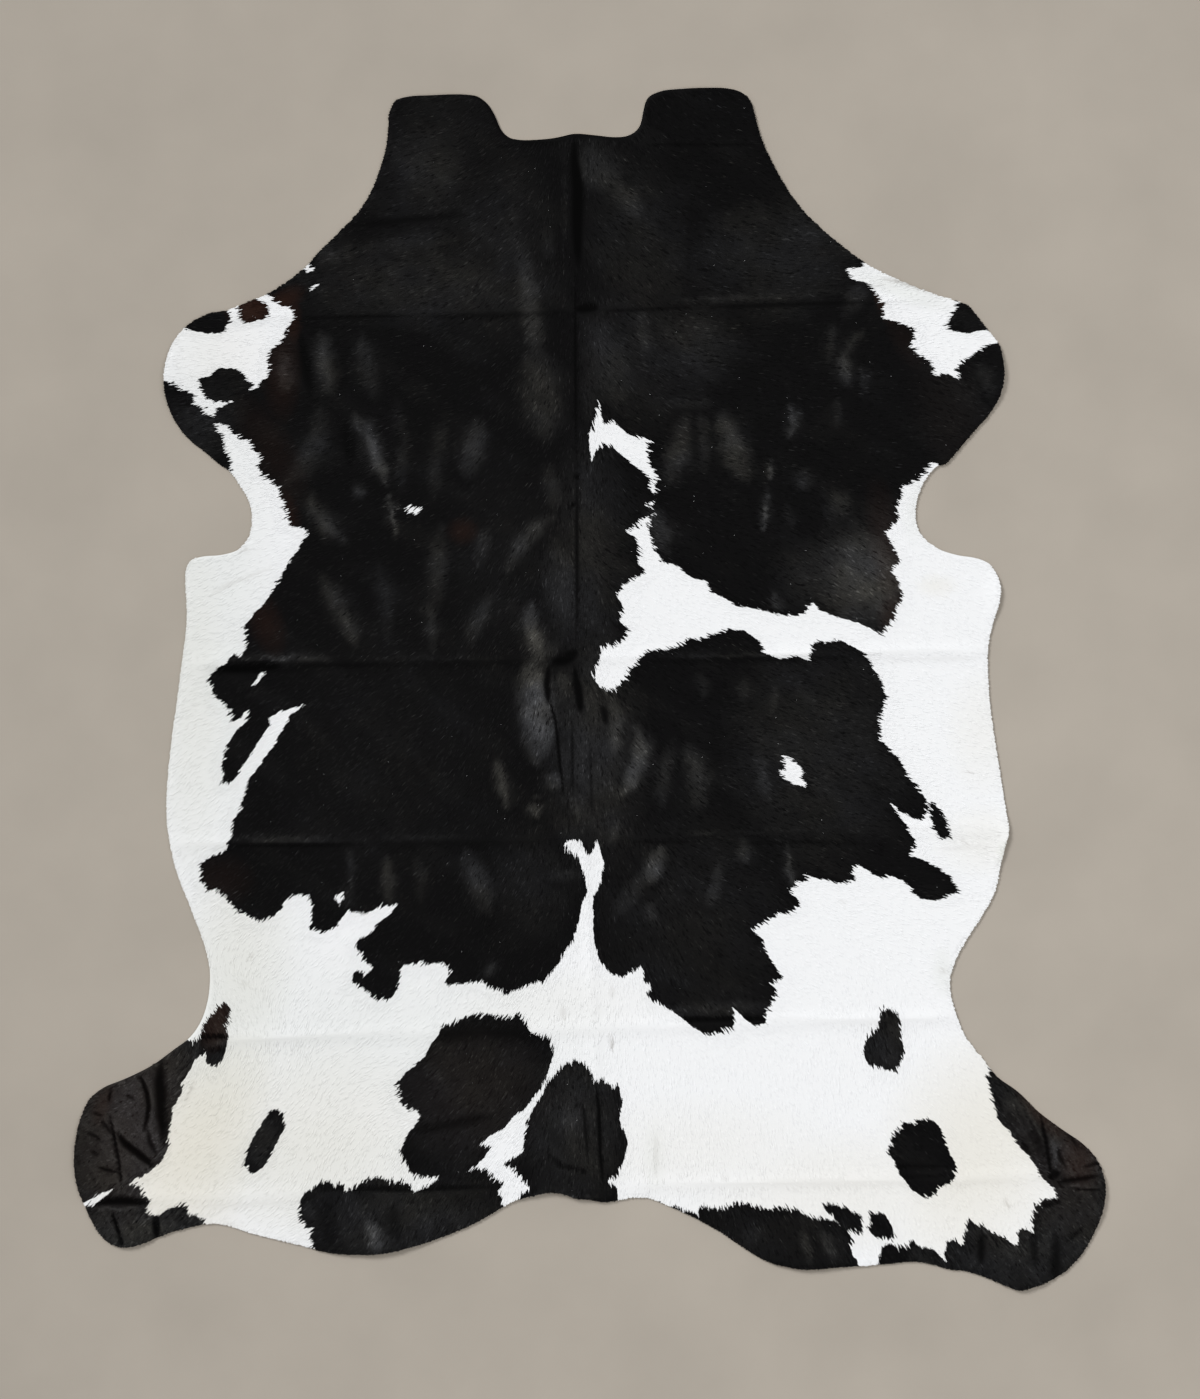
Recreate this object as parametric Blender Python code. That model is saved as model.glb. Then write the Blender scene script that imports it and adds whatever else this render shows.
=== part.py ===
"""A cowhide rug: one whole tanned hide, hair side up, lying on the surface that it rests on.

The hide is one closed sheet. Its cut outline runs round two neck flaps, two forelegs, the flanks,
two hind legs and the tail edge. It was folded flat for storage, so ridges cross it from side to
side, one runs along the spine, and soft swells lie between them. Everywhere else it lies flat.

Frame: metres, +Z up, +Y towards the neck. The origin is at the centre of the outline's box, on
the surface that the hide rests on.
"""

import math
from collections import namedtuple

import bpy
import numpy as np
from mathutils import Vector
from mathutils.geometry import delaunay_2d_cdt

# Driving dimensions, in metres.
HIDE_LENGTH = 2.24
LEATHER = 0.0024
FLAT_HAIR = 0.0016
THICKNESS = LEATHER + FLAT_HAIR

# Spacing of the sheet's points, in metres.
EDGE_STEP = 0.018
FINE_EDGE_STEP = 0.007
FIELD_STEP = 0.030
RIDGE_STEP = 0.027
RIDGE_SHARES = (-1.0, -0.45, 0.0, 0.45, 1.0)
CURVE_STEP = 0.002
FIELD_CLEARANCE = 0.010
LEAST_GAP = 0.0035
MERGE = 1e-6
TURN_LIMIT = math.radians(14)

# The triangulation keeps the triangles inside the outline only.
INSIDE_ONLY = 1

# The outline and the relief are placed by pixel in a photograph that looks straight down.
PHOTO_LEFT, PHOTO_RIGHT = 74.3, 1105.3
PHOTO_TOP, PHOTO_BOTTOM = 88.0, 1290.3
PIXEL = HIDE_LENGTH / (PHOTO_BOTTOM - PHOTO_TOP)

# The cut outline, clockwise from the left side of the neck: a row for each stretch of the edge,
# holding the points (right, down) that its curve passes through, in pixels.
Stretch = namedtuple("Stretch", "name points")
OUTLINE = (
    Stretch("left neck flap", (
        (360, 210), (371, 192), (379, 172), (385, 153), (388, 131), (389.5, 112), (396, 100.5),
        (408, 96.5), (430, 95.5), (458, 94.5), (476, 96), (487, 103), (495, 115), (501, 129))),
    Stretch("neck edge", (
        (508, 136.5), (517, 139.5), (537, 139.5), (557, 137.3), (574, 133.5), (600, 135.5),
        (617, 137), (629, 135), (637, 129.5))),
    Stretch("right neck flap", (
        (641, 122), (643.5, 108), (648, 97.5), (661, 91), (680, 89), (705, 88), (728, 88.5),
        (742, 92.5), (750, 100.5), (756, 119), (762, 140), (781, 179), (800, 207))),
    Stretch("right shoulder", (
        (820, 227.5), (840, 244.5), (862, 261), (880, 272), (898, 280), (930, 293), (959, 302))),
    Stretch("right foreleg", (
        (969, 306.5), (979, 318.5), (992, 335.5), (999, 345), (1003, 360), (1004, 376),
        (1000, 396), (991, 412), (972, 434), (955, 454), (945, 464.5), (938, 466))),
    Stretch("right armpit", (
        (930, 473), (921, 488), (916, 505), (916, 523), (922.5, 537), (937, 548), (958, 555),
        (977, 558), (988, 563), (996, 573.5), (1000.5, 588), (999.3, 601), (991.7, 627.5),
        (987.7, 650))),
    Stretch("right flank", (
        (988, 677), (990.5, 710), (995.5, 745), (1001, 780), (1006, 812), (1008.5, 832),
        (1005, 846), (1000.5, 864), (995.7, 889), (985, 910.5), (970, 934), (957, 956.5),
        (950.5, 975), (950, 990), (955, 1011), (966.5, 1039), (983.5, 1059.5))),
    Stretch("right hind leg", (
        (995.5, 1075), (1018.4, 1091.7), (1038, 1111), (1062, 1129), (1083, 1143.5),
        (1097, 1159.5), (1104, 1178), (1105.3, 1193), (1101.5, 1214), (1091, 1239),
        (1079, 1257.5), (1063, 1273), (1047, 1282), (1030, 1288), (1020, 1290.3),
        (1004.5, 1285), (984.6, 1277), (966, 1271), (948, 1269), (929.5, 1263.5))),
    Stretch("right tail edge", (
        (910, 1261.5), (890, 1263.5), (860, 1265.8), (830, 1267.7), (805, 1269.2), (785, 1266.3),
        (765, 1260.5), (745, 1248.5), (722, 1233), (700, 1220.5), (680, 1210.8), (660, 1202.3),
        (648, 1197.8), (632, 1197.5), (617, 1200.5), (603, 1202))),
    Stretch("left tail edge", (
        (590, 1199.5), (575, 1198), (563, 1193.8), (550, 1192.3), (535, 1195.3), (515, 1200.5),
        (505, 1205.5), (490, 1215), (470, 1225.5), (445, 1236), (415, 1246), (385, 1253),
        (352, 1254.3), (325, 1252), (300, 1245))),
    Stretch("left hind leg", (
        (275, 1239), (247, 1231.7), (226, 1225), (207, 1223.5), (190, 1227.3), (170, 1232.8),
        (152, 1240), (135, 1246), (120, 1246.7), (106, 1240.5), (95.5, 1227.5), (85, 1206.5),
        (77.5, 1187), (74.3, 1163), (76, 1140), (81, 1117.5), (90, 1098.5), (103, 1087.5),
        (124.5, 1078.6), (152, 1065), (174.7, 1048.5), (190, 1037), (201, 1021))),
    Stretch("left flank", (
        (207.5, 1001), (209.8, 980), (208.5, 960), (201, 935), (188, 901), (178, 875),
        (171, 848), (167.2, 822), (167, 793), (171, 747), (177, 702), (182.5, 660), (187, 620))),
    Stretch("left armpit", (
        (186, 590), (186, 570), (191, 560.5), (203, 556.2), (222, 554.7), (239, 549),
        (249, 537), (252.2, 520), (249, 501), (240, 485.5), (230, 471.5), (220, 465))),
    Stretch("left foreleg", (
        (206, 453), (190, 440.5), (176, 423), (167, 402), (164, 383), (167, 358), (176, 338),
        (190, 323.5), (210, 313.5), (228, 310.3), (245, 303))),
    Stretch("left shoulder", (
        (265, 295.5), (285, 283.3), (305, 268), (320, 251.3), (340, 232))),
)

# Ridges where the hide was folded: their two ends in pixels, the crest's height over the surface
# and the distance from crest to foot, in metres. They fade out beyond their ends.
Ridge = namedtuple("Ridge", "name start end height foot")
RIDGES = (
    Ridge("shoulder fold", (232, 319), (915, 300), 0.0050, 0.022),
    Ridge("girth fold", (205, 663), (972, 652), 0.0060, 0.024),
    Ridge("belly fold", (186, 844), (992, 831), 0.0050, 0.026),
    Ridge("flank fold", (222, 1039), (942, 1017), 0.0055, 0.026),
    Ridge("rump fold, left", (105, 1199), (590, 1186), 0.0040, 0.024),
    Ridge("rump fold, right", (640, 1185), (1085, 1174), 0.0040, 0.024),
    Ridge("spine, upper", (573, 150), (579, 640), 0.0045, 0.018),
    Ridge("spine, lower", (586, 860), (602, 1180), 0.0040, 0.018),
)
RIDGE_FADE = 0.045

# Soft swells between the folds and lifted stretches of the edge: centre in pixels, direction of
# the long axis in degrees from the right, half lengths of the two axes and height in metres.
Swell = namedtuple("Swell", "name centre turn along across height")
SWELLS = (
    Swell("beside the spine", (538, 700), 84, 0.190, 0.048, 0.0060),
    Swell("right of the spine", (634, 752), 92, 0.120, 0.044, 0.0040),
    Swell("left shoulder blade", (530, 350), 93, 0.190, 0.052, 0.0035),
    Swell("left elbow", (372, 452), 112, 0.140, 0.042, 0.0045),
    Swell("left breast", (316, 512), 115, 0.080, 0.042, 0.0035),
    Swell("left foreleg root", (326, 368), 98, 0.085, 0.038, 0.0035),
    Swell("left ribs", (466, 452), 76, 0.090, 0.044, 0.0035),
    Swell("left loin", (522, 550), 55, 0.085, 0.040, 0.0035),
    Swell("right neck", (626, 200), 120, 0.080, 0.042, 0.0035),
    Swell("right shoulder blade", (735, 445), 125, 0.090, 0.044, 0.0035),
    Swell("right foreleg root", (846, 364), 95, 0.070, 0.040, 0.0035),
    Swell("right loin", (654, 876), 78, 0.100, 0.040, 0.0040),
    Swell("left haunch", (484, 886), 102, 0.090, 0.042, 0.0035),
    Swell("left rump", (385, 878), 95, 0.070, 0.038, 0.0030),
    Swell("left neck flap", (440, 88), 0, 0.110, 0.050, 0.0050),
    Swell("right neck flap", (700, 80), 0, 0.110, 0.050, 0.0050),
    Swell("left foreleg", (160, 385), 90, 0.110, 0.055, 0.0050),
    Swell("right foreleg", (1010, 372), 90, 0.120, 0.055, 0.0060),
    Swell("right elbow", (1006, 592), 85, 0.090, 0.050, 0.0050),
    Swell("right belly", (1014, 842), 85, 0.090, 0.050, 0.0060),
    Swell("left hind leg", (70, 1150), 90, 0.130, 0.060, 0.0060),
    Swell("left hoof", (128, 1254), 0, 0.100, 0.050, 0.0050),
    Swell("left tail edge", (378, 1262), 5, 0.170, 0.060, 0.0080),
    Swell("middle of the tail edge", (562, 1200), 0, 0.120, 0.060, 0.0070),
    Swell("right tail edge", (806, 1276), 0, 0.170, 0.055, 0.0065),
    Swell("right hind leg", (1028, 1298), 0, 0.130, 0.055, 0.0060),
    Swell("right hoof", (1112, 1200), 90, 0.110, 0.055, 0.0055),
)


def place(pixel):
    """The point of the hide, in metres, that a pixel (right, down) shows."""
    right, down = pixel
    middle = ((PHOTO_LEFT + PHOTO_RIGHT) / 2, (PHOTO_TOP + PHOTO_BOTTOM) / 2)
    return Vector(((right - middle[0]) * PIXEL, (middle[1] - down) * PIXEL))


def curve_between(before, start, end, after, count):
    """Points of a Catmull-Rom curve from start to just before end, spaced for its chord lengths."""
    knots = [0.0]
    for a, b in ((before, start), (start, end), (end, after)):
        knots.append(knots[-1] + math.sqrt((b - a).length))
    t0, t1, t2, t3 = knots
    found = []
    for i in range(count):
        t = t1 + (t2 - t1) * i / count
        a1 = before.lerp(start, (t - t0) / (t1 - t0))
        a2 = start.lerp(end, (t - t1) / (t2 - t1))
        a3 = end.lerp(after, (t - t2) / (t3 - t2))
        b1 = a1.lerp(a2, (t - t0) / (t2 - t0))
        b2 = a2.lerp(a3, (t - t1) / (t3 - t1))
        found.append(b1.lerp(b2, (t - t1) / (t2 - t1)))
    return found


def smooth_outline():
    """The whole cut edge as a closed row of close points, anticlockwise seen from above."""
    corners = [place(pixel) for stretch in OUTLINE for pixel in stretch.points]
    corners.reverse()
    found = []
    for i, start in enumerate(corners):
        before = corners[i - 1]
        end = corners[(i + 1) % len(corners)]
        after = corners[(i + 2) % len(corners)]
        count = max(2, round((end - start).length / CURVE_STEP))
        found += curve_between(before, start, end, after, count)
    return found


def ridge_coordinates(x, y, ridge):
    """How far a point lies along a ridge past its nearer end (0 between the ends) and across it."""
    start, end = place(ridge.start), place(ridge.end)
    direction = (end - start).normalized()
    along = (x - start.x) * direction.x + (y - start.y) * direction.y
    across = (y - start.y) * direction.x - (x - start.x) * direction.y
    beyond = max(-along, along - (end - start).length, 0.0)
    return beyond, across


def bell(share):
    """A smooth bump: 1 in the middle, 0 from a share of 1 outwards."""
    return math.cos(math.pi / 2 * share) ** 2 if share < 1.0 else 0.0


def ridge_height(x, y, ridge):
    """A crest with straight flanks that flatten at the foot."""
    beyond, across = ridge_coordinates(x, y, ridge)
    share = abs(across) / ridge.foot
    if share >= 1.0:
        return 0.0
    return ridge.height * (1.0 - share) ** 1.5 * bell(beyond / RIDGE_FADE)


def swell_height(x, y, swell):
    centre, turn = place(swell.centre), math.radians(swell.turn)
    right, up = x - centre.x, y - centre.y
    along = (right * math.cos(turn) + up * math.sin(turn)) / swell.along
    across = (up * math.cos(turn) - right * math.sin(turn)) / swell.across
    return swell.height * bell(math.hypot(along, across))


def lift(x, y):
    """How far the hide's underside stands over the surface at a point."""
    highest_ridge = max(ridge_height(x, y, ridge) for ridge in RIDGES)
    highest_swell = max(swell_height(x, y, swell) for swell in SWELLS)
    return max(highest_ridge, highest_swell)


def near_ridge(point):
    """Whether a point of the edge lies where a ridge runs out over it."""
    for ridge in RIDGES:
        beyond, across = ridge_coordinates(point.x, point.y, ridge)
        if beyond < RIDGE_FADE and abs(across) < ridge.foot:
            return True
    return False


def thinned(curve):
    """The edge with fewer points: close together at tight turns and over ridges."""
    kept = [curve[0]]
    travelled, turned = 0.0, 0.0
    for i in range(1, len(curve) - 1):
        step, following = curve[i] - curve[i - 1], curve[i + 1] - curve[i]
        travelled += step.length
        turned += abs(step.angle_signed(following, 0.0))
        limit = FINE_EDGE_STEP if near_ridge(curve[i]) else EDGE_STEP
        if travelled >= limit or (turned >= TURN_LIMIT and travelled >= FINE_EDGE_STEP):
            kept.append(curve[i])
            travelled, turned = 0.0, 0.0
    return kept


def ridge_rows():
    """Rows of points along each ridge's crest, flanks and feet."""
    found = []
    for ridge in RIDGES:
        start, end = place(ridge.start), place(ridge.end)
        direction = (end - start).normalized()
        side = Vector((-direction.y, direction.x))
        length = (end - start).length + 2 * RIDGE_FADE
        count = round(length / RIDGE_STEP)
        for i in range(count + 1):
            middle = start + direction * (length * i / count - RIDGE_FADE)
            found += [middle + side * ridge.foot * share for share in RIDGE_SHARES]
    return found


def field_rows():
    """Staggered rows of points over the whole box, away from the ridges."""
    half_width = (PHOTO_RIGHT - PHOTO_LEFT) / 2 * PIXEL
    half_length = HIDE_LENGTH / 2
    row_step = FIELD_STEP * math.sqrt(3) / 2
    found = []
    for row in range(-round(half_length / row_step), round(half_length / row_step) + 1):
        shift = FIELD_STEP / 2 * (row % 2)
        for column in range(-round(half_width / FIELD_STEP), round(half_width / FIELD_STEP) + 1):
            point = Vector((column * FIELD_STEP + shift, row * row_step))
            gaps = (ridge_coordinates(point.x, point.y, ridge) for ridge in RIDGES)
            clear = all(
                beyond > RIDGE_FADE or abs(across) > ridge.foot + FIELD_CLEARANCE
                for ridge, (beyond, across) in zip(RIDGES, gaps)
            )
            if clear:
                found.append(point)
    return found


def inside(points, edge, margin):
    """The points that lie within the edge, at least the margin away from it."""
    corners = np.array(edge)
    following = np.roll(corners, -1, axis=0)
    sides = following - corners
    rise = np.where(sides[:, 1] == 0, 1.0, sides[:, 1])
    kept = []
    for point in points:
        away = np.array(point) - corners
        share = np.clip((away * sides).sum(axis=1) / (sides**2).sum(axis=1), 0, 1)
        clearance = np.hypot(*(away - share[:, None] * sides).T).min()
        crosses = (corners[:, 1] > point.y) != (following[:, 1] > point.y)
        meeting = corners[:, 0] + away[:, 1] / rise * sides[:, 0]
        if (crosses & (meeting > point.x)).sum() % 2 and clearance > margin:
            kept.append(point)
    return kept


def spread(points, gap):
    """The points without those that crowd an earlier one."""
    kept = []
    for point in points:
        if all((point - other).length_squared > gap * gap for other in kept):
            kept.append(point)
    return kept


def hide_mesh():
    """The sheet: an upper and a lower skin of the same triangles, joined along the cut edge."""
    edge = thinned(smooth_outline())
    rows = spread(inside(ridge_rows(), edge, LEAST_GAP), LEAST_GAP)
    field = inside(field_rows(), edge, FIELD_CLEARANCE)
    sides = [(i, (i + 1) % len(edge)) for i in range(len(edge))]
    points, _, triangles, _, _, _ = delaunay_2d_cdt(edge + rows + field, sides, [], INSIDE_ONLY, MERGE)
    count = len(points)
    lower = [(p.x, p.y, lift(p.x, p.y)) for p in points]
    upper = [(x, y, z + THICKNESS) for x, y, z in lower]
    faces = [tuple(i + count for i in face) for face in triangles]
    faces += [tuple(reversed(face)) for face in triangles]
    directed = {(face[i], face[(i + 1) % 3]) for face in triangles for i in range(3)}
    for a, b in sorted(directed):
        if (b, a) not in directed:
            faces.append((a, b, b + count, a + count))
    mesh = bpy.data.meshes.new("hide")
    mesh.from_pydata(lower + upper, [], faces)
    mesh.validate()
    return mesh


def hide_material():
    material = bpy.data.materials.new("cowhide")
    material.use_nodes = True
    shader = material.node_tree.nodes["Principled BSDF"]
    shader.inputs["Base Color"].default_value = (0.60, 0.59, 0.56, 1.0)
    shader.inputs["Roughness"].default_value = 0.72
    shader.inputs["Metallic"].default_value = 0.0
    return material


def build_hide():
    hide = bpy.data.objects.new("hide", hide_mesh())
    hide.data.materials.append(hide_material())
    bpy.context.scene.collection.objects.link(hide)


def main():
    for obj in list(bpy.data.objects):
        bpy.data.objects.remove(obj, do_unlink=True)
    build_hide()


main()
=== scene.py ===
"""A cowhide rug seen from straight above, hair side up: the leather, the coat that lies on it and
the locks of hair that give the coat its streaks, its ragged colour edges and its fringe.

Frame: metres, +Z up, +Y towards the neck, origin at the centre of the hide on the floor. Places on
the hide are given as pixels (right, down) of a photograph that looks straight down, and turned into
metres by place(), whose scale comes from the length of the hide in the frame.
"""

import math
from collections import namedtuple
from functools import cache

import bpy
import numpy as np
from bpy.props import FloatProperty, FloatVectorProperty, IntProperty, PointerProperty
from mathutils.geometry import delaunay_2d_cdt
from mathutils.kdtree import KDTree
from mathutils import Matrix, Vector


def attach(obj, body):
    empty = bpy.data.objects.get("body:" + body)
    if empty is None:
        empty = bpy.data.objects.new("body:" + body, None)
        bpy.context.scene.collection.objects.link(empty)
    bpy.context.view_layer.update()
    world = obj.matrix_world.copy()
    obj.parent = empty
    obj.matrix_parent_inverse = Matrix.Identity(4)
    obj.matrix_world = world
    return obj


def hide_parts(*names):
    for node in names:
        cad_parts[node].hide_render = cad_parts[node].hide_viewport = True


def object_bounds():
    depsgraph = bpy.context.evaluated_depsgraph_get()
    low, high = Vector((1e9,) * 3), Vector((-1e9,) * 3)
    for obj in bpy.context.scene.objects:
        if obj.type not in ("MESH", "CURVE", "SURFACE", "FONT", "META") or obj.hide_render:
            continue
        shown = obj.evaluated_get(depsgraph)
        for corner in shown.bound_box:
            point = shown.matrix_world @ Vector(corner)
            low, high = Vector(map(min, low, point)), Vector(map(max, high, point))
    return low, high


bl_info = {
    "name": "Cowhide Rug",
    "version": (1, 0, 0),
    "blender": (4, 5, 0),
    "location": "3D View > Sidebar > Cowhide",
    "description": "Builds a cowhide rug with its leather, coat and hair around a fixed frame",
    "category": "Object",
}

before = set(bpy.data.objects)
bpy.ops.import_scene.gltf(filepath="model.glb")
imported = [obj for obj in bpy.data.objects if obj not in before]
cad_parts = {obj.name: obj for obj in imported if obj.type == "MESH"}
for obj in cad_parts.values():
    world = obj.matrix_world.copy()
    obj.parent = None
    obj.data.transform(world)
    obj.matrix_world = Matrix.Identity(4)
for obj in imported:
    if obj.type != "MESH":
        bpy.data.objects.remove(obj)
CAD_BOX = [list(corner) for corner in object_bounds()]
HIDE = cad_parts["hide"]

# The photograph that the pixels are counted in, and the hide's box in it.
PHOTO_WIDTH, PHOTO_HEIGHT = 1200, 1399
HIDE_MIDDLE = (589.8, 689.15)
HIDE_LENGTH_PIXELS = 1202.3
PIXEL = (CAD_BOX[1][1] - CAD_BOX[0][1]) / HIDE_LENGTH_PIXELS


def rows_of(kind, rows):
    """Rows of a table, with a name for each column."""
    return tuple(kind(*row) for row in rows)


# ------------------------------
# The coat: dark patches on white, and white patches on those. A patch's outline is a loop of
# pixels. Where a patch runs out over the cut edge, its outline goes on outside the hide.
# ------------------------------

Patch = namedtuple("Patch", "dark points")

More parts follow.
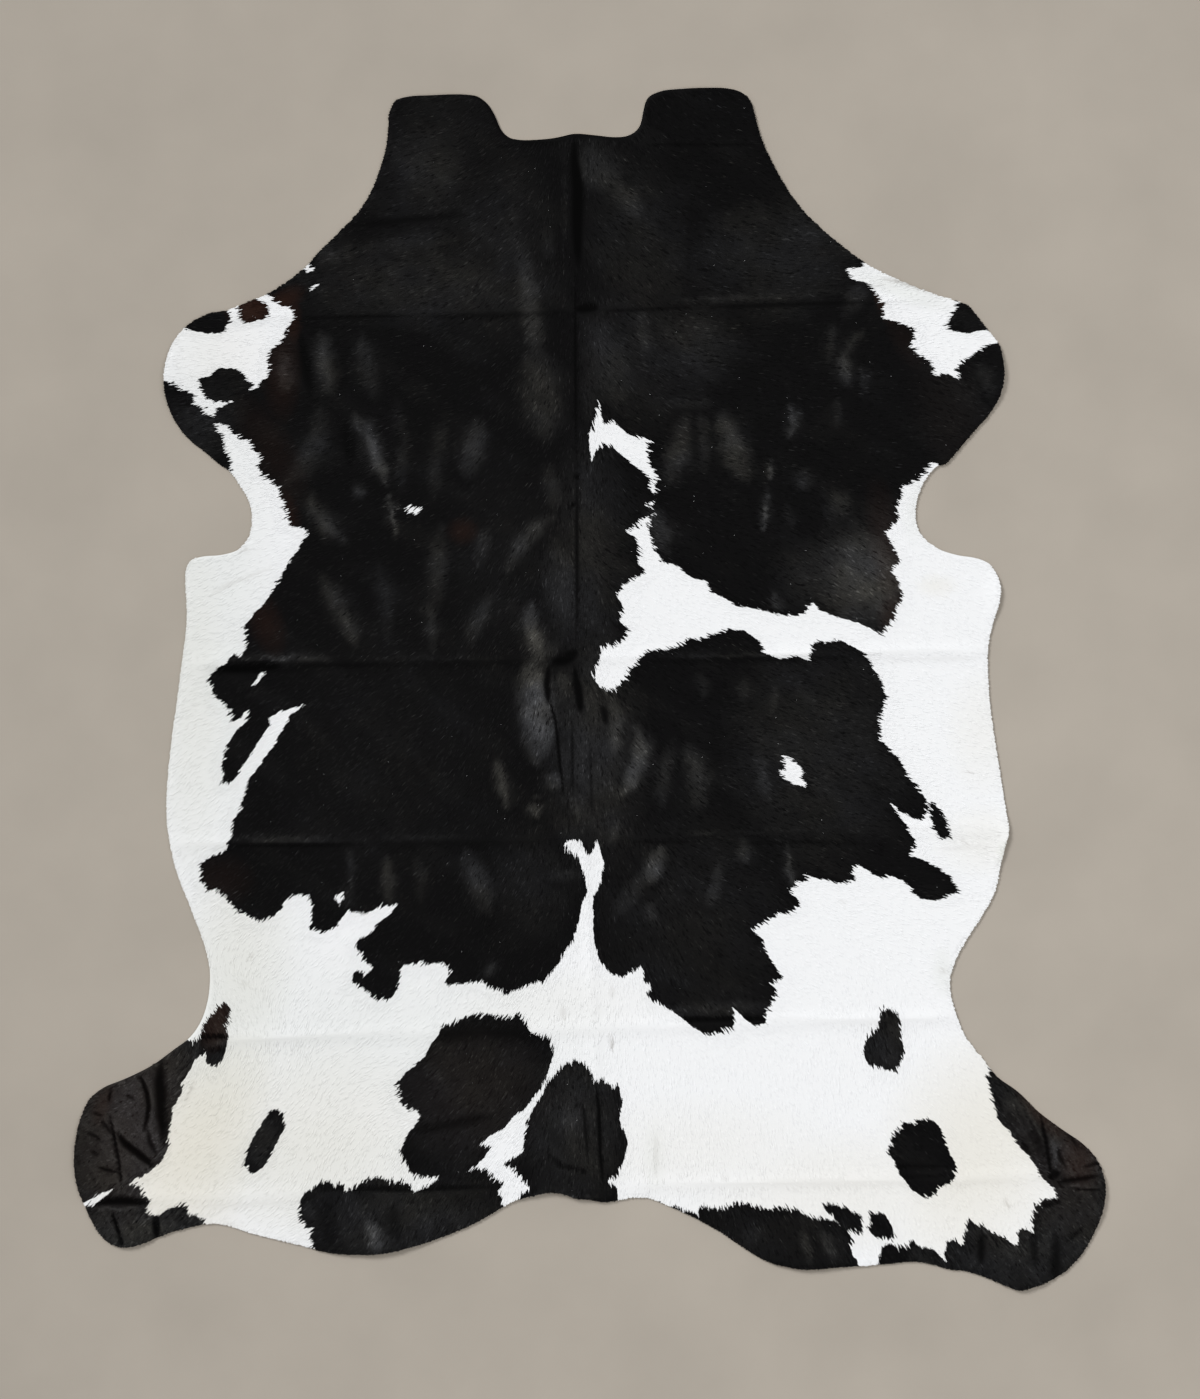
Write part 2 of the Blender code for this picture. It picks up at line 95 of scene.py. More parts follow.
COAT = rows_of(Patch, (
    # body
    (True, (
        # left shoulder and the upper foreleg
        (262, 270), (258, 284), (267, 294), (271, 298), (280, 306), (290, 308), (293, 316), (291, 325),
        (284, 333), (285, 338), (272, 349), (268, 363), (268, 374), (258, 387), (243, 393), (255, 385),
        (246, 377), (240, 371), (231, 368), (219, 368), (210, 376), (200, 379), (199, 387), (205, 398),
        (217, 403), (232, 402), (218, 408), (214, 418),
        # left hoof of the forelegs
        (208, 415), (199, 406), (192, 404), (194, 394), (184, 391), (176, 387), (170, 382), (150, 380),
        (145, 400), (165, 450), (215, 487), (228, 480), (231, 469), (230, 461), (226, 449), (221, 436),
        (214, 424),
        # breast and left side down to the girth
        (222, 423), (232, 432), (238, 439), (246, 440), (254, 451), (262, 458), (256, 467), (266, 478),
        (277, 487), (283, 503), (286, 515), (290, 526), (301, 528), (307, 532), (300, 546), (288, 564),
        (279, 580), (271, 594), (262, 606), (249, 620), (244, 626), (247, 648), (241, 658), (233, 654),
        (225, 665), (217, 667), (208, 679), (214, 696), (227, 707), (233, 722), (239, 720), (246, 711),
        (248, 720), (235, 732), (225, 748), (221, 766), (222, 783), (230, 785), (240, 770), (252, 753),
        (261, 738), (270, 724), (267, 719), (279, 712), (308, 704),
        # left flank and belly
        (290, 715), (283, 729), (271, 749), (259, 766), (249, 780), (243, 796), (240, 811), (231, 823),
        (233, 835), (226, 844), (228, 850), (211, 857), (199, 864), (201, 871), (199, 878), (208, 891),
        (219, 892), (230, 904), (239, 912), (254, 920), (262, 922), (278, 914), (286, 900), (293, 896),
        (308, 896), (313, 912), (310, 930), (323, 932), (338, 926), (344, 914), (350, 911), (363, 915),
        (381, 907), (397, 905), (388, 916), (376, 924), (373, 932), (357, 941), (356, 946), (364, 960),
        (372, 969), (367, 974), (354, 971), (351, 983), (360, 987), (367, 993), (377, 1001), (390, 999),
        (398, 989), (400, 976), (402, 966), (415, 963), (435, 963), (447, 966), (449, 975), (444, 983),
        (458, 985), (477, 981), (492, 988), (504, 994), (517, 991), (532, 984), (546, 980), (556, 968),
        (563, 955), (574, 939), (578, 924), (582, 905), (588, 893), (583, 873), (578, 857), (565, 850),
        # the white horn's tip on the spine
        (563, 846), (571, 840), (580, 842), (586, 852), (588, 858), (593, 850), (598, 842), (601, 853),
        (604, 864), (600, 884), (593, 898), (593, 915), (593, 932), (596, 950), (600, 964),
        # right loin, from the spine to the belly
        (612, 975), (622, 978), (632, 972), (642, 966), (645, 974), (642, 979), (652, 988), (646, 996),
        (655, 1002), (665, 1007), (680, 1017), (688, 1023), (700, 1032), (711, 1036), (722, 1032),
        (731, 1031), (735, 1020), (735, 1009), (744, 1018), (754, 1026), (765, 1023), (768, 1010),
        (774, 999), (777, 991), (772, 984), (783, 978), (778, 968), (770, 959), (765, 950), (764, 940),
        (753, 932), (770, 920), (778, 914), (790, 913), (801, 904), (789, 890), (797, 883), (808, 880),
        (807, 875), (820, 879), (832, 882), (842, 883), (856, 881), (851, 870), (857, 864), (867, 870),
        (881, 879), (892, 876), (906, 882), (914, 894), (921, 899), (932, 900), (944, 899), (957, 892),
        (957, 886), (950, 876), (936, 866), (921, 859), (907, 855), (917, 847), (909, 829), (900, 816),
        (890, 803),
        # right flank
        (901, 812), (922, 822), (928, 809), (926, 800), (918, 786), (907, 775), (900, 760), (889, 748),
        (882, 741), (881, 716), (884, 705), (886, 697), (884, 686), (880, 676), (872, 667), (866, 654),
        (855, 648), (840, 640), (828, 642), (815, 643), (811, 649), (811, 656), (808, 661), (797, 656),
        (780, 659), (764, 653), (761, 642), (745, 631), (731, 629), (718, 633), (704, 638), (690, 639),
        (678, 647), (664, 649), (650, 651), (641, 658), (633, 667), (622, 683), (611, 692), (600, 687),
        (594, 679),
        # beside the spine, up to the white channel
        (599, 662), (603, 648), (616, 645), (626, 638), (629, 628), (619, 621), (625, 611), (618, 595),
        (625, 586), (638, 577), (645, 572), (638, 561), (641, 550), (636, 538), (626, 532), (637, 526),
        (647, 517), (655, 513),
        # right ribs
        (650, 521), (649, 532), (655, 548), (663, 563), (677, 565), (691, 577), (708, 582), (710, 592),
        (727, 599), (737, 606), (755, 609), (771, 613), (787, 616), (797, 616), (806, 611), (812, 602),
        (820, 610), (840, 618), (860, 624), (873, 630), (881, 636), (886, 629), (894, 620), (896, 611),
        (903, 600), (900, 586), (892, 571), (900, 563), (897, 552), (886, 534), (893, 525), (901, 520),
        (897, 512), (903, 493), (900, 489), (912, 483), (920, 480), (931, 466), (935, 462),
        # right foreleg
        (942, 470), (965, 480), (1025, 420), (1035, 345), (1012, 336), (999, 343), (986, 345),
        (972, 355), (960, 365), (956, 370), (959, 380), (948, 374), (933, 376), (934, 368), (926, 358),
        (915, 352), (912, 346), (915, 339), (915, 328), (906, 326), (892, 321), (885, 319), (884, 306),
        (877, 293), (867, 283), (855, 280), (844, 270), (858, 268), (864, 265),
        # outside the neck
        (872, 250), (800, 150), (780, 60), (360, 60), (330, 190),
    )),
    # white crescent beside the spine
    (False, (
        (600, 403), (601, 414), (604, 424), (608, 424), (614, 421), (620, 428), (629, 435), (640, 439),
        (651, 440), (648, 446), (649, 457), (650, 466), (657, 476), (657, 485), (655, 495), (651, 491),
        (650, 477), (640, 470), (630, 462), (618, 452), (609, 445), (602, 446), (596, 451), (592, 461),
        (590, 448), (588, 434), (594, 428), (596, 413),
    )),
    # white fleck in the crescent's tail
    (False, ((656, 500), (650, 508), (646, 505))),
    # white diamond on the loin
    (False, (
        (783, 755), (790, 757), (799, 765), (804, 770), (802, 777), (806, 787), (795, 785), (786, 780),
        (781, 772), (785, 766),
    )),
    # white speck on the belly
    (False, (
        (345, 890), (341, 893), (336, 895), (333, 899), (337, 902), (341, 905), (342, 901), (345, 898),
        (343, 894),
    )),
    # white scar on the ribs
    (False, ((403, 507), (412, 508), (420, 509), (420, 513), (412, 514), (406, 511))),
    # white streak at the girth
    (False, ((265, 669), (261, 672), (257, 679), (253, 688), (257, 685), (261, 678))),
    # white fleck on the left shoulder
    (False, ((310, 291), (313, 286), (316, 283), (319, 282), (317, 286), (313, 290))),
    # white fleck at the left edge
    (False, ((305, 266), (305, 270), (307, 274), (310, 272), (313, 269), (309, 268), (310, 263))),
    # spot on the left foreleg
    (True, (
        (182, 316), (183, 329), (190, 331), (200, 332), (208, 334), (222, 334), (228, 326), (232, 321),
        (228, 312), (225, 296), (200, 296),
    )),
    # brown spot on the left foreleg
    (True, (
        (237, 307), (239, 313), (239, 320), (244, 322), (250, 324), (257, 321), (264, 320), (269, 316),
        (268, 311), (269, 306), (262, 302), (258, 299), (250, 292), (238, 297),
    )),
    # spot on the right foreleg
    (True, (
        (961, 296), (956, 308), (950, 321), (946, 328), (954, 331), (968, 334), (978, 331), (988, 330),
        (1004, 325), (985, 300),
    )),
    # left hind hoof
    (True, (
        (225, 1001), (229, 1004), (231, 1011), (230, 1020), (227, 1026), (226, 1031), (229, 1036),
        (227, 1041), (228, 1045), (225, 1052), (223, 1059), (220, 1064), (215, 1067), (210, 1066),
        (206, 1063), (206, 1057), (202, 1056), (198, 1057), (193, 1064), (190, 1070), (181, 1084),
        (183, 1091), (174, 1105), (172, 1119), (168, 1137), (169, 1148), (161, 1163), (150, 1171),
        (138, 1179), (131, 1181), (141, 1190), (150, 1200), (146, 1213), (158, 1216), (170, 1208),
        (183, 1204), (189, 1213), (204, 1219), (206, 1240), (120, 1270), (60, 1240), (50, 1150),
        (90, 1070), (180, 1035), (187, 1037), (189, 1041), (194, 1041), (199, 1037), (203, 1030),
        (205, 1024), (210, 1017), (216, 1012), (219, 1006),
    )),
    # white sliver across the left hind hoof
    (False, (
        (60, 1214), (83, 1203), (96, 1196), (110, 1190), (118, 1186), (108, 1194), (94, 1205),
        (84, 1207),
    )),
    # oval on the left thigh
    (True, (
        (276, 1109), (284, 1114), (285, 1128), (276, 1144), (270, 1158), (263, 1168), (252, 1174),
        (243, 1165), (249, 1146), (258, 1129), (268, 1113),
    )),
    # left rump
    (True, (
        (441, 1026), (447, 1024), (455, 1023), (461, 1020), (472, 1015), (477, 1013), (482, 1016),
        (488, 1014), (496, 1017), (505, 1019), (512, 1018), (518, 1015), (525, 1022), (529, 1030),
        (534, 1034), (540, 1037), (546, 1037), (552, 1040), (550, 1045), (554, 1051), (553, 1057),
        (551, 1065), (548, 1073), (543, 1084), (536, 1095), (530, 1102), (524, 1109), (512, 1118),
        (505, 1128), (497, 1133), (487, 1137), (485, 1141), (480, 1144), (490, 1148), (487, 1153),
        (484, 1157), (479, 1163), (476, 1166), (467, 1171), (466, 1180), (446, 1184), (437, 1178),
        (430, 1178), (424, 1177), (416, 1177), (410, 1173), (407, 1168), (402, 1160), (400, 1155),
        (398, 1151), (402, 1148), (404, 1142), (407, 1136), (410, 1130), (414, 1127), (418, 1120),
        (420, 1116), (417, 1110), (410, 1110), (405, 1108), (401, 1102), (399, 1098), (398, 1090),
        (395, 1084), (400, 1080), (405, 1073), (411, 1068), (416, 1063), (421, 1061), (425, 1056),
        (429, 1048), (433, 1042), (438, 1036),
    )),
    # left tail edge
    (True, (
        (300, 1200), (303, 1196), (305, 1192), (312, 1188), (318, 1184), (322, 1181), (328, 1182),
        (334, 1185), (340, 1184), (343, 1188), (347, 1191), (352, 1189), (355, 1185), (362, 1183),
        (367, 1179), (375, 1178), (390, 1180), (400, 1181), (405, 1183), (410, 1187), (415, 1191),
        (425, 1188), (432, 1184), (437, 1180), (446, 1175), (462, 1172), (470, 1171), (477, 1169),
        (483, 1170), (488, 1173), (493, 1178), (500, 1181), (505, 1182), (500, 1188), (497, 1192),
        (502, 1197), (501, 1203), (505, 1207), (508, 1222), (440, 1262), (310, 1270), (312, 1247),
        (310, 1240), (310, 1234), (312, 1228), (305, 1227), (300, 1221), (299, 1213), (298, 1207),
    )),
    # rump on the spine
    (True, (
        (560, 1069), (566, 1064), (571, 1062), (577, 1061), (582, 1063), (587, 1067), (591, 1072),
        (594, 1080), (597, 1083), (602, 1079), (607, 1083), (613, 1088), (618, 1085), (621, 1095),
        (623, 1101), (621, 1108), (620, 1118), (621, 1127), (625, 1133), (628, 1142), (626, 1149),
        (625, 1158), (621, 1167), (619, 1173), (615, 1178), (608, 1180), (609, 1184), (615, 1185),
        (618, 1190), (617, 1195), (619, 1200), (618, 1220), (520, 1222), (516, 1200), (519, 1197),
        (525, 1192), (530, 1187), (521, 1182), (523, 1177), (515, 1174), (512, 1168), (504, 1165),
        (505, 1162), (514, 1158), (522, 1153), (524, 1145), (524, 1134), (527, 1128), (525, 1122),
        (530, 1118), (533, 1109), (536, 1104), (543, 1093), (548, 1081), (552, 1077),
    )),
    # oval on the right flank
    (True, ((931, 800), (940, 809), (948, 821), (952, 839), (941, 840), (933, 825), (929, 812))),
    # spot on the right thigh
    (True, (
        (887, 1008), (881, 1011), (879, 1020), (878, 1028), (873, 1030), (869, 1037), (864, 1042),
        (863, 1052), (866, 1062), (872, 1068), (877, 1066), (883, 1069), (891, 1071), (898, 1071),
        (900, 1063), (903, 1055), (904, 1048), (901, 1035), (901, 1022), (897, 1013), (891, 1010),
    )),
    # round spot on the right thigh
    (True, (
        (928, 1118), (920, 1120), (915, 1124), (906, 1122), (901, 1124), (901, 1130), (895, 1132),
        (891, 1141), (888, 1149), (889, 1157), (894, 1159), (896, 1167), (900, 1175), (908, 1184),
        (914, 1192), (923, 1197), (928, 1198), (935, 1194), (941, 1187), (949, 1183), (954, 1178),
        (957, 1169), (954, 1160), (949, 1151), (946, 1140), (941, 1128), (933, 1121),
    )),
    # right hind hoof
    (True, (
        (990, 1066), (988, 1082), (993, 1100), (997, 1119), (1010, 1132), (1019, 1147), (1032, 1160),
        (1042, 1178), (1055, 1189), (1059, 1198), (1046, 1198), (1035, 1206), (1032, 1222),
        (1033, 1234), (1022, 1227), (1018, 1234), (1018, 1246), (1008, 1240), (996, 1233), (983, 1226),
        (968, 1220), (964, 1234), (964, 1244), (953, 1239), (947, 1243), (944, 1255), (947, 1262),
        (935, 1251), (928, 1248), (919, 1245), (912, 1241), (900, 1249), (888, 1243), (882, 1248),
        (878, 1264), (878, 1290), (1020, 1315), (1110, 1280), (1130, 1190), (1090, 1120),
    )),
    # right tail edge
    (True, (
        (655, 1215), (655, 1204), (672, 1207), (690, 1212), (699, 1215), (697, 1208), (708, 1206),
        (723, 1210), (728, 1205), (748, 1204), (770, 1209), (780, 1206), (797, 1210), (810, 1217),
        (826, 1220), (838, 1221), (829, 1214), (822, 1205), (838, 1205), (850, 1210), (862, 1216),
        (862, 1223), (862, 1233), (849, 1232), (853, 1240), (850, 1250), (858, 1262), (862, 1290),
        (780, 1290),
    )),
    # drop beside the tail edge
    (True, (
        (868, 1214), (884, 1214), (890, 1222), (894, 1233), (892, 1240), (880, 1240), (868, 1230),
        (872, 1222),
    )),
))

# ------------------------------
# The relief: ridges where the hide was folded, soft swells and lifted edges, and narrow creases.
# ------------------------------

# Ends in pixels, height of the crest and distance from crest to foot in metres.
Ridge = namedtuple("Ridge", "start end height foot")
RIDGES = rows_of(Ridge, (
    ((232, 319), (915, 300), 0.005, 0.022),  # shoulder fold
    ((205, 663), (972, 652), 0.006, 0.024),  # girth fold
    ((186, 844), (992, 831), 0.005, 0.026),  # belly fold
    ((222, 1039), (942, 1017), 0.0055, 0.026),  # flank fold
    ((105, 1199), (590, 1186), 0.004, 0.024),  # rump fold, left
    ((640, 1185), (1085, 1174), 0.004, 0.024),  # rump fold, right
    ((573, 150), (579, 640), 0.0045, 0.018),  # spine, upper
    ((586, 860), (602, 1180), 0.004, 0.018),  # spine, lower
))
# How far a ridge fades out beyond its ends in metres, the share of its height that is drawn, and
# how steeply its flanks rise to the crest.
RIDGE_FADE, RIDGE_SHARE, RIDGE_STEEPNESS = 0.045, 0.5, 1.5

# Centre in pixels, turn of the long axis in degrees, half lengths of both axes and height in metres.
Swell = namedtuple("Swell", "centre turn along across height")
SWELLS = rows_of(Swell, (
    ((538, 700), 84, 0.19, 0.048, 0.006),  # beside the spine
    ((634, 752), 92, 0.12, 0.044, 0.004),  # right of the spine
    ((530, 350), 93, 0.19, 0.052, 0.0035),  # left shoulder blade
    ((372, 452), 112, 0.14, 0.042, 0.0045),  # left elbow
    ((316, 512), 115, 0.08, 0.042, 0.0035),  # left breast
    ((326, 368), 98, 0.085, 0.038, 0.0035),  # left foreleg root
    ((466, 452), 76, 0.09, 0.044, 0.0035),  # left ribs
    ((522, 550), 55, 0.085, 0.04, 0.0035),  # left loin
    ((626, 200), 120, 0.08, 0.042, 0.0035),  # right neck
    ((735, 445), 125, 0.09, 0.044, 0.0035),  # right shoulder blade
    ((846, 364), 95, 0.07, 0.04, 0.0035),  # right foreleg root
    ((654, 876), 78, 0.1, 0.04, 0.004),  # right loin
    ((484, 886), 102, 0.09, 0.042, 0.0035),  # left haunch
    ((385, 878), 95, 0.07, 0.038, 0.003),  # left rump
    ((440, 88), 0, 0.11, 0.05, 0.005),  # left neck flap
    ((700, 80), 0, 0.11, 0.05, 0.005),  # right neck flap
    ((160, 385), 90, 0.11, 0.055, 0.005),  # left foreleg
    ((1010, 372), 90, 0.12, 0.055, 0.006),  # right foreleg
    ((1006, 592), 85, 0.09, 0.05, 0.005),  # right elbow
    ((1014, 842), 85, 0.09, 0.05, 0.006),  # right belly
    ((70, 1150), 90, 0.13, 0.06, 0.006),  # left hind leg
    ((128, 1254), 0, 0.1, 0.05, 0.005),  # left hoof
    ((378, 1262), 5, 0.17, 0.06, 0.008),  # left tail edge
    ((562, 1200), 0, 0.12, 0.06, 0.007),  # middle of the tail edge
    ((806, 1276), 0, 0.17, 0.055, 0.0065),  # right tail edge
    ((1028, 1298), 0, 0.13, 0.055, 0.006),  # right hind leg
    ((1112, 1200), 90, 0.11, 0.055, 0.0055),  # right hoof
))

# Narrow creases and wrinkles: points and width in pixels, height in metres.
Crease = namedtuple("Crease", "points width height")
CREASES = rows_of(Crease, (
    # neck and shoulder
    (((500, 143), (570, 141)), 6, 0.001), (((645, 141), (760, 143)), 6, 0.001),
    (((300, 317), (520, 312), (608, 308), (640, 300), (870, 298)), 6, 0.0012),
    # spine wrinkles
    (((552, 668), (556, 720), (561, 770), (566, 800)), 6, 0.0014),
    (((566, 660), (570, 710), (575, 760), (578, 820)), 5, 0.0012),
    (((585, 665), (588, 720), (584, 780), (590, 830)), 5, 0.001),
    (((598, 700), (600, 750), (596, 800)), 5, 0.0009),
    # girth, belly, flank and rump lines
    (((205, 668), (390, 664)), 5, 0.001), (((340, 665), (560, 661)), 5, 0.0005),
    (((650, 657), (760, 655), (985, 649)), 5, 0.0008), (((865, 659), (985, 657)), 4, 0.0005),
    (((175, 843), (370, 844)), 5, 0.001), (((330, 844), (560, 841)), 5, 0.0004),
    (((690, 834), (890, 826), (1003, 826)), 5, 0.0008), (((925, 847), (1003, 846)), 5, 0.0005),
    (((235, 1041), (420, 1029)), 6, 0.0006),
    (((650, 1019), (770, 1018), (870, 1020), (950, 1018)), 5, 0.0005),
    (((190, 1206), (300, 1201)), 5, 0.0006), (((650, 1184), (860, 1182), (1040, 1180)), 5, 0.0004),
    # left hoof
    (((142, 1076), (151, 1094), (152, 1112), (148, 1132)), 4, 0.0016),
    (((120, 1130), (132, 1144), (153, 1160)), 4, 0.0016),
    (((113, 1118), (119, 1140), (124, 1180)), 4, 0.0014), (((155, 1070), (165, 1130)), 8, 0.0012),
    (((90, 1207), (150, 1206)), 5, 0.0012), (((115, 1210), (122, 1245)), 4, 0.0012),
    (((160, 1215), (164, 1235)), 4, 0.001),
    # right hoof
    (((1040, 1115), (1052, 1140), (1060, 1180)), 5, 0.0016), (((1060, 1165), (1103, 1168)), 5, 0.0014),
    (((1062, 1186), (1103, 1188)), 5, 0.0014), (((1020, 1100), (1035, 1125), (1040, 1150)), 5, 0.0012),
))

# ------------------------------
# Light and dark painted into the black hair. A sheen is a painted highlight where hair stands a
# little higher and catches the light, a shade is painted shade where hair lies in a fold or turns
# away. Points and width in pixels, and a strength of 1 for the brightest or darkest.
# ------------------------------

Stroke = namedtuple("Stroke", "points width strength")
SHEENS = rows_of(Stroke, (
    # neck
    (((567, 140), (564, 175), (566, 215), (564, 270)), 3, 0.2), (((512, 200), (516, 232)), 10, 0.28),
    (((545, 215), (550, 270)), 12, 0.2), (((510, 232), (524, 270), (532, 320), (540, 370)), 17, 0.52),
    (((534, 345), (541, 390), (548, 444)), 26, 0.42), (((582, 140), (598, 168), (622, 192)), 30, 0.36),
    (((612, 178), (632, 205), (642, 230)), 20, 0.42), (((594, 310), (610, 360), (622, 415)), 32, 0.36),
    (((639, 312), (644, 338), (646, 366)), 14, 0.42), (((590, 330), (592, 440)), 16, 0.2),
    (((680, 305), (694, 345), (706, 380)), 46, 0.3),
    (((640, 305), (700, 300), (780, 297), (872, 288)), 7, 0.3), (((380, 172), (478, 166)), 56, 0.28),
    (((345, 252), (480, 238)), 20, 0.26), (((310, 262), (360, 252)), 16, 0.3),
    # left foreleg, shoulder and breast
    (((283, 345), (288, 396)), 13, 0.42), (((320, 330), (326, 365), (332, 398)), 12, 0.65),
    (((361, 328), (366, 365), (376, 405)), 14, 0.32),
    (((322, 400), (319, 440), (303, 468), (280, 488)), 17, 0.34),
    (((361, 414), (371, 441), (380, 467), (390, 487)), 10, 0.95), (((353, 413), (363, 438)), 5, 0.7),
    (((378, 508), (394, 507), (406, 509)), 2, 1.0), (((389, 488), (392, 512), (396, 542)), 4, 1.15),
    (((352, 488), (366, 494)), 9, 0.45), (((309, 488), (316, 512), (333, 532), (350, 546)), 11, 0.6),
    (((396, 395), (402, 440), (400, 500)), 11, 0.24), (((482, 415), (474, 445), (467, 482)), 17, 0.5),
    (((446, 410), (436, 460), (433, 510)), 13, 0.24),
    # left ribs
    (((442, 520), (438, 565), (436, 612)), 15, 0.36), (((489, 522), (482, 545), (479, 572)), 12, 0.4),
    (((562, 514), (540, 524), (522, 545), (502, 577)), 12, 0.55),
    (((545, 462), (554, 488), (558, 516)), 14, 0.32), (((562, 520), (562, 580), (565, 645)), 26, 0.38),
    (((494, 588), (478, 620), (466, 650)), 13, 0.4), (((520, 585), (512, 620)), 12, 0.15),
    (((320, 572), (340, 606), (360, 652)), 14, 0.5), (((427, 595), (432, 628), (434, 656)), 10, 0.4),
    (((378, 555), (386, 600), (391, 648)), 13, 0.24),
    (((532, 596), (530, 626), (539, 652), (541, 676)), 13, 0.85), (((546, 640), (556, 655)), 16, 0.35),
    # beside the spine
    (((534, 650), (537, 693), (540, 730), (536, 768)), 23, 1.12), (((545, 712), (552, 745)), 14, 0.75),
    (((552, 770), (560, 792)), 15, 0.6), (((496, 754), (501, 780), (509, 813)), 8, 0.75),
    (((530, 803), (540, 819)), 9, 0.65), (((536, 793), (540, 800)), 8, 0.3),
    (((561, 668), (562, 706)), 13, 0.45), (((576, 793), (578, 824)), 4, 0.55),
    (((598, 662), (590, 700), (592, 740)), 18, 0.28), (((611, 690), (616, 728), (612, 768)), 12, 0.7),
    (((636, 718), (641, 751), (632, 780), (614, 804)), 13, 0.95), (((619, 812), (611, 847)), 9, 0.55),
    (((560, 866), (562, 884)), 30, 0.28),
    # left belly
    (((386, 850), (388, 875), (390, 908)), 10, 0.48), (((347, 842), (352, 870), (350, 900)), 7, 0.34),
    (((342, 884), (353, 910)), 13, 0.2), (((415, 850), (422, 880), (420, 908)), 11, 0.25),
    (((464, 846), (478, 880), (492, 920)), 17, 0.46), (((484, 964), (496, 975)), 11, 0.4),
    (((228, 839), (350, 839)), 6, 0.4), (((350, 838), (480, 837)), 5, 0.25),
    # girth fold
    (((225, 658), (270, 658), (340, 659)), 5, 0.55), (((330, 658), (560, 657)), 4, 0.22),
    (((645, 657), (700, 656), (852, 652)), 3, 0.3), (((700, 670), (705, 700)), 10, 0.22),
    (((745, 672), (742, 710)), 12, 0.22),
    # right neck and foreleg
    (((738, 200), (770, 290)), 70, 0.22), (((845, 292), (866, 306)), 26, 0.32),
    (((834, 318), (830, 345), (825, 366)), 7, 0.36), (((866, 330), (851, 342), (844, 358)), 8, 0.4),
    (((844, 350), (844, 370), (850, 390)), 10, 0.62), (((862, 364), (864, 392)), 10, 0.25),
    (((836, 396), (839, 430)), 8, 0.25), (((980, 360), (992, 400)), 14, 0.25),
    # right shoulder and ribs
    (((645, 396), (672, 402), (720, 404)), 10, 0.24), (((720, 408), (732, 445), (749, 486)), 18, 0.6),
    (((686, 410), (680, 450), (664, 492)), 16, 0.46), (((700, 405), (704, 440), (705, 478)), 11, 0.28),
    (((788, 400), (794, 420), (787, 442)), 6, 0.85), (((801, 408), (790, 428)), 5, 0.4),
    (((771, 456), (769, 482)), 3, 1.15), (((768, 482), (766, 508), (763, 534)), 3, 1.3),
    (((802, 466), (805, 492)), 12, 0.36), (((842, 488), (838, 508), (824, 520)), 18, 0.34),
    (((772, 590), (776, 604), (781, 614)), 8, 0.5), (((785, 500), (792, 530)), 8, 0.2),
    (((846, 535), (864, 575), (878, 625)), 50, 0.76), (((653, 503), (658, 530), (666, 558)), 17, 0.45),
    (((780, 545), (810, 575), (850, 610)), 40, 0.26), (((640, 300), (650, 345)), 12, 0.3),
    # right loin and flank
    (((686, 738), (697, 770), (700, 815)), 17, 0.42), (((674, 736), (665, 770), (659, 815)), 12, 0.3),
    (((662, 843), (655, 866), (646, 888)), 13, 0.85), (((620, 886), (642, 902)), 40, 0.3),
    (((683, 833), (720, 832)), 4, 0.35), (((700, 834), (790, 830), (905, 832)), 3, 0.24),
    (((752, 730), (762, 765), (768, 815)), 14, 0.36), (((779, 680), (774, 700), (770, 722)), 9, 0.36),
    (((786, 840), (789, 864), (793, 892)), 6, 0.75), (((720, 855), (716, 885), (706, 915)), 11, 0.42),
    (((646, 898), (655, 926)), 13, 0.4), (((742, 836), (746, 868)), 12, 0.42),
    (((680, 915), (710, 965)), 34, 0.16), (((655, 1010), (775, 1006)), 13, 0.35),
    # rump and tail edge
    (((570, 1086), (571, 1144)), 17, 0.5), (((560, 1150), (580, 1170)), 20, 0.25),
    (((528, 1193), (602, 1197)), 4, 0.6), (((306, 1193), (500, 1194)), 7, 0.35),
    (((305, 1198), (315, 1222)), 12, 0.35), (((367, 1216), (374, 1238), (379, 1256)), 13, 1.0),
    (((409, 1198), (416, 1232)), 12, 0.4), (((450, 1205), (470, 1225)), 18, 0.2),
    (((800, 1222), (812, 1266)), 9, 0.45), (((822, 1226), (834, 1264)), 9, 0.45),
    (((740, 1225), (760, 1245)), 20, 0.25), (((905, 1250), (935, 1262)), 14, 0.25),
    # left hind hoof
    (((143, 1074), (151, 1086), (154, 1104), (151, 1122), (150, 1136)), 4, 0.8),
    (((124, 1132), (134, 1143), (150, 1154)), 5, 0.7),
    (((114, 1120), (120, 1142), (124, 1168)), 3, 0.5), (((90, 1208), (120, 1208), (150, 1208)), 4, 0.8),
    (((161, 1216), (162, 1238)), 3, 0.8), (((118, 1214), (122, 1228), (128, 1244)), 3, 0.5),
    (((206, 1044), (227, 1044)), 4, 0.6), (((124, 1112), (136, 1132)), 13, 0.35),
    (((94, 1122), (104, 1150)), 14, 0.3), (((172, 1062), (178, 1090)), 8, 0.3),
    (((104, 1096), (128, 1086)), 18, 0.3), (((132, 1166), (148, 1174)), 8, 0.3),
    (((86, 1160), (90, 1180)), 12, 0.25),
    # right hind hoof
    (((1037, 1116), (1042, 1140), (1045, 1160)), 3, 0.5),
    (((1050, 1126), (1055, 1146), (1056, 1168)), 8, 0.6), (((1064, 1152), (1080, 1160)), 6, 0.4),
    (((1056, 1187), (1080, 1187), (1100, 1188)), 4, 0.6), (((1062, 1175), (1096, 1172)), 4, 0.5),
    (((1012, 1122), (1028, 1140)), 10, 0.25), (((1005, 1096), (1015, 1112)), 12, 0.3),
    (((1000, 1240), (1006, 1265)), 10, 0.3), (((1072, 1200), (1088, 1235)), 22, 0.2),
    (((960, 1250), (985, 1262)), 12, 0.2),
))
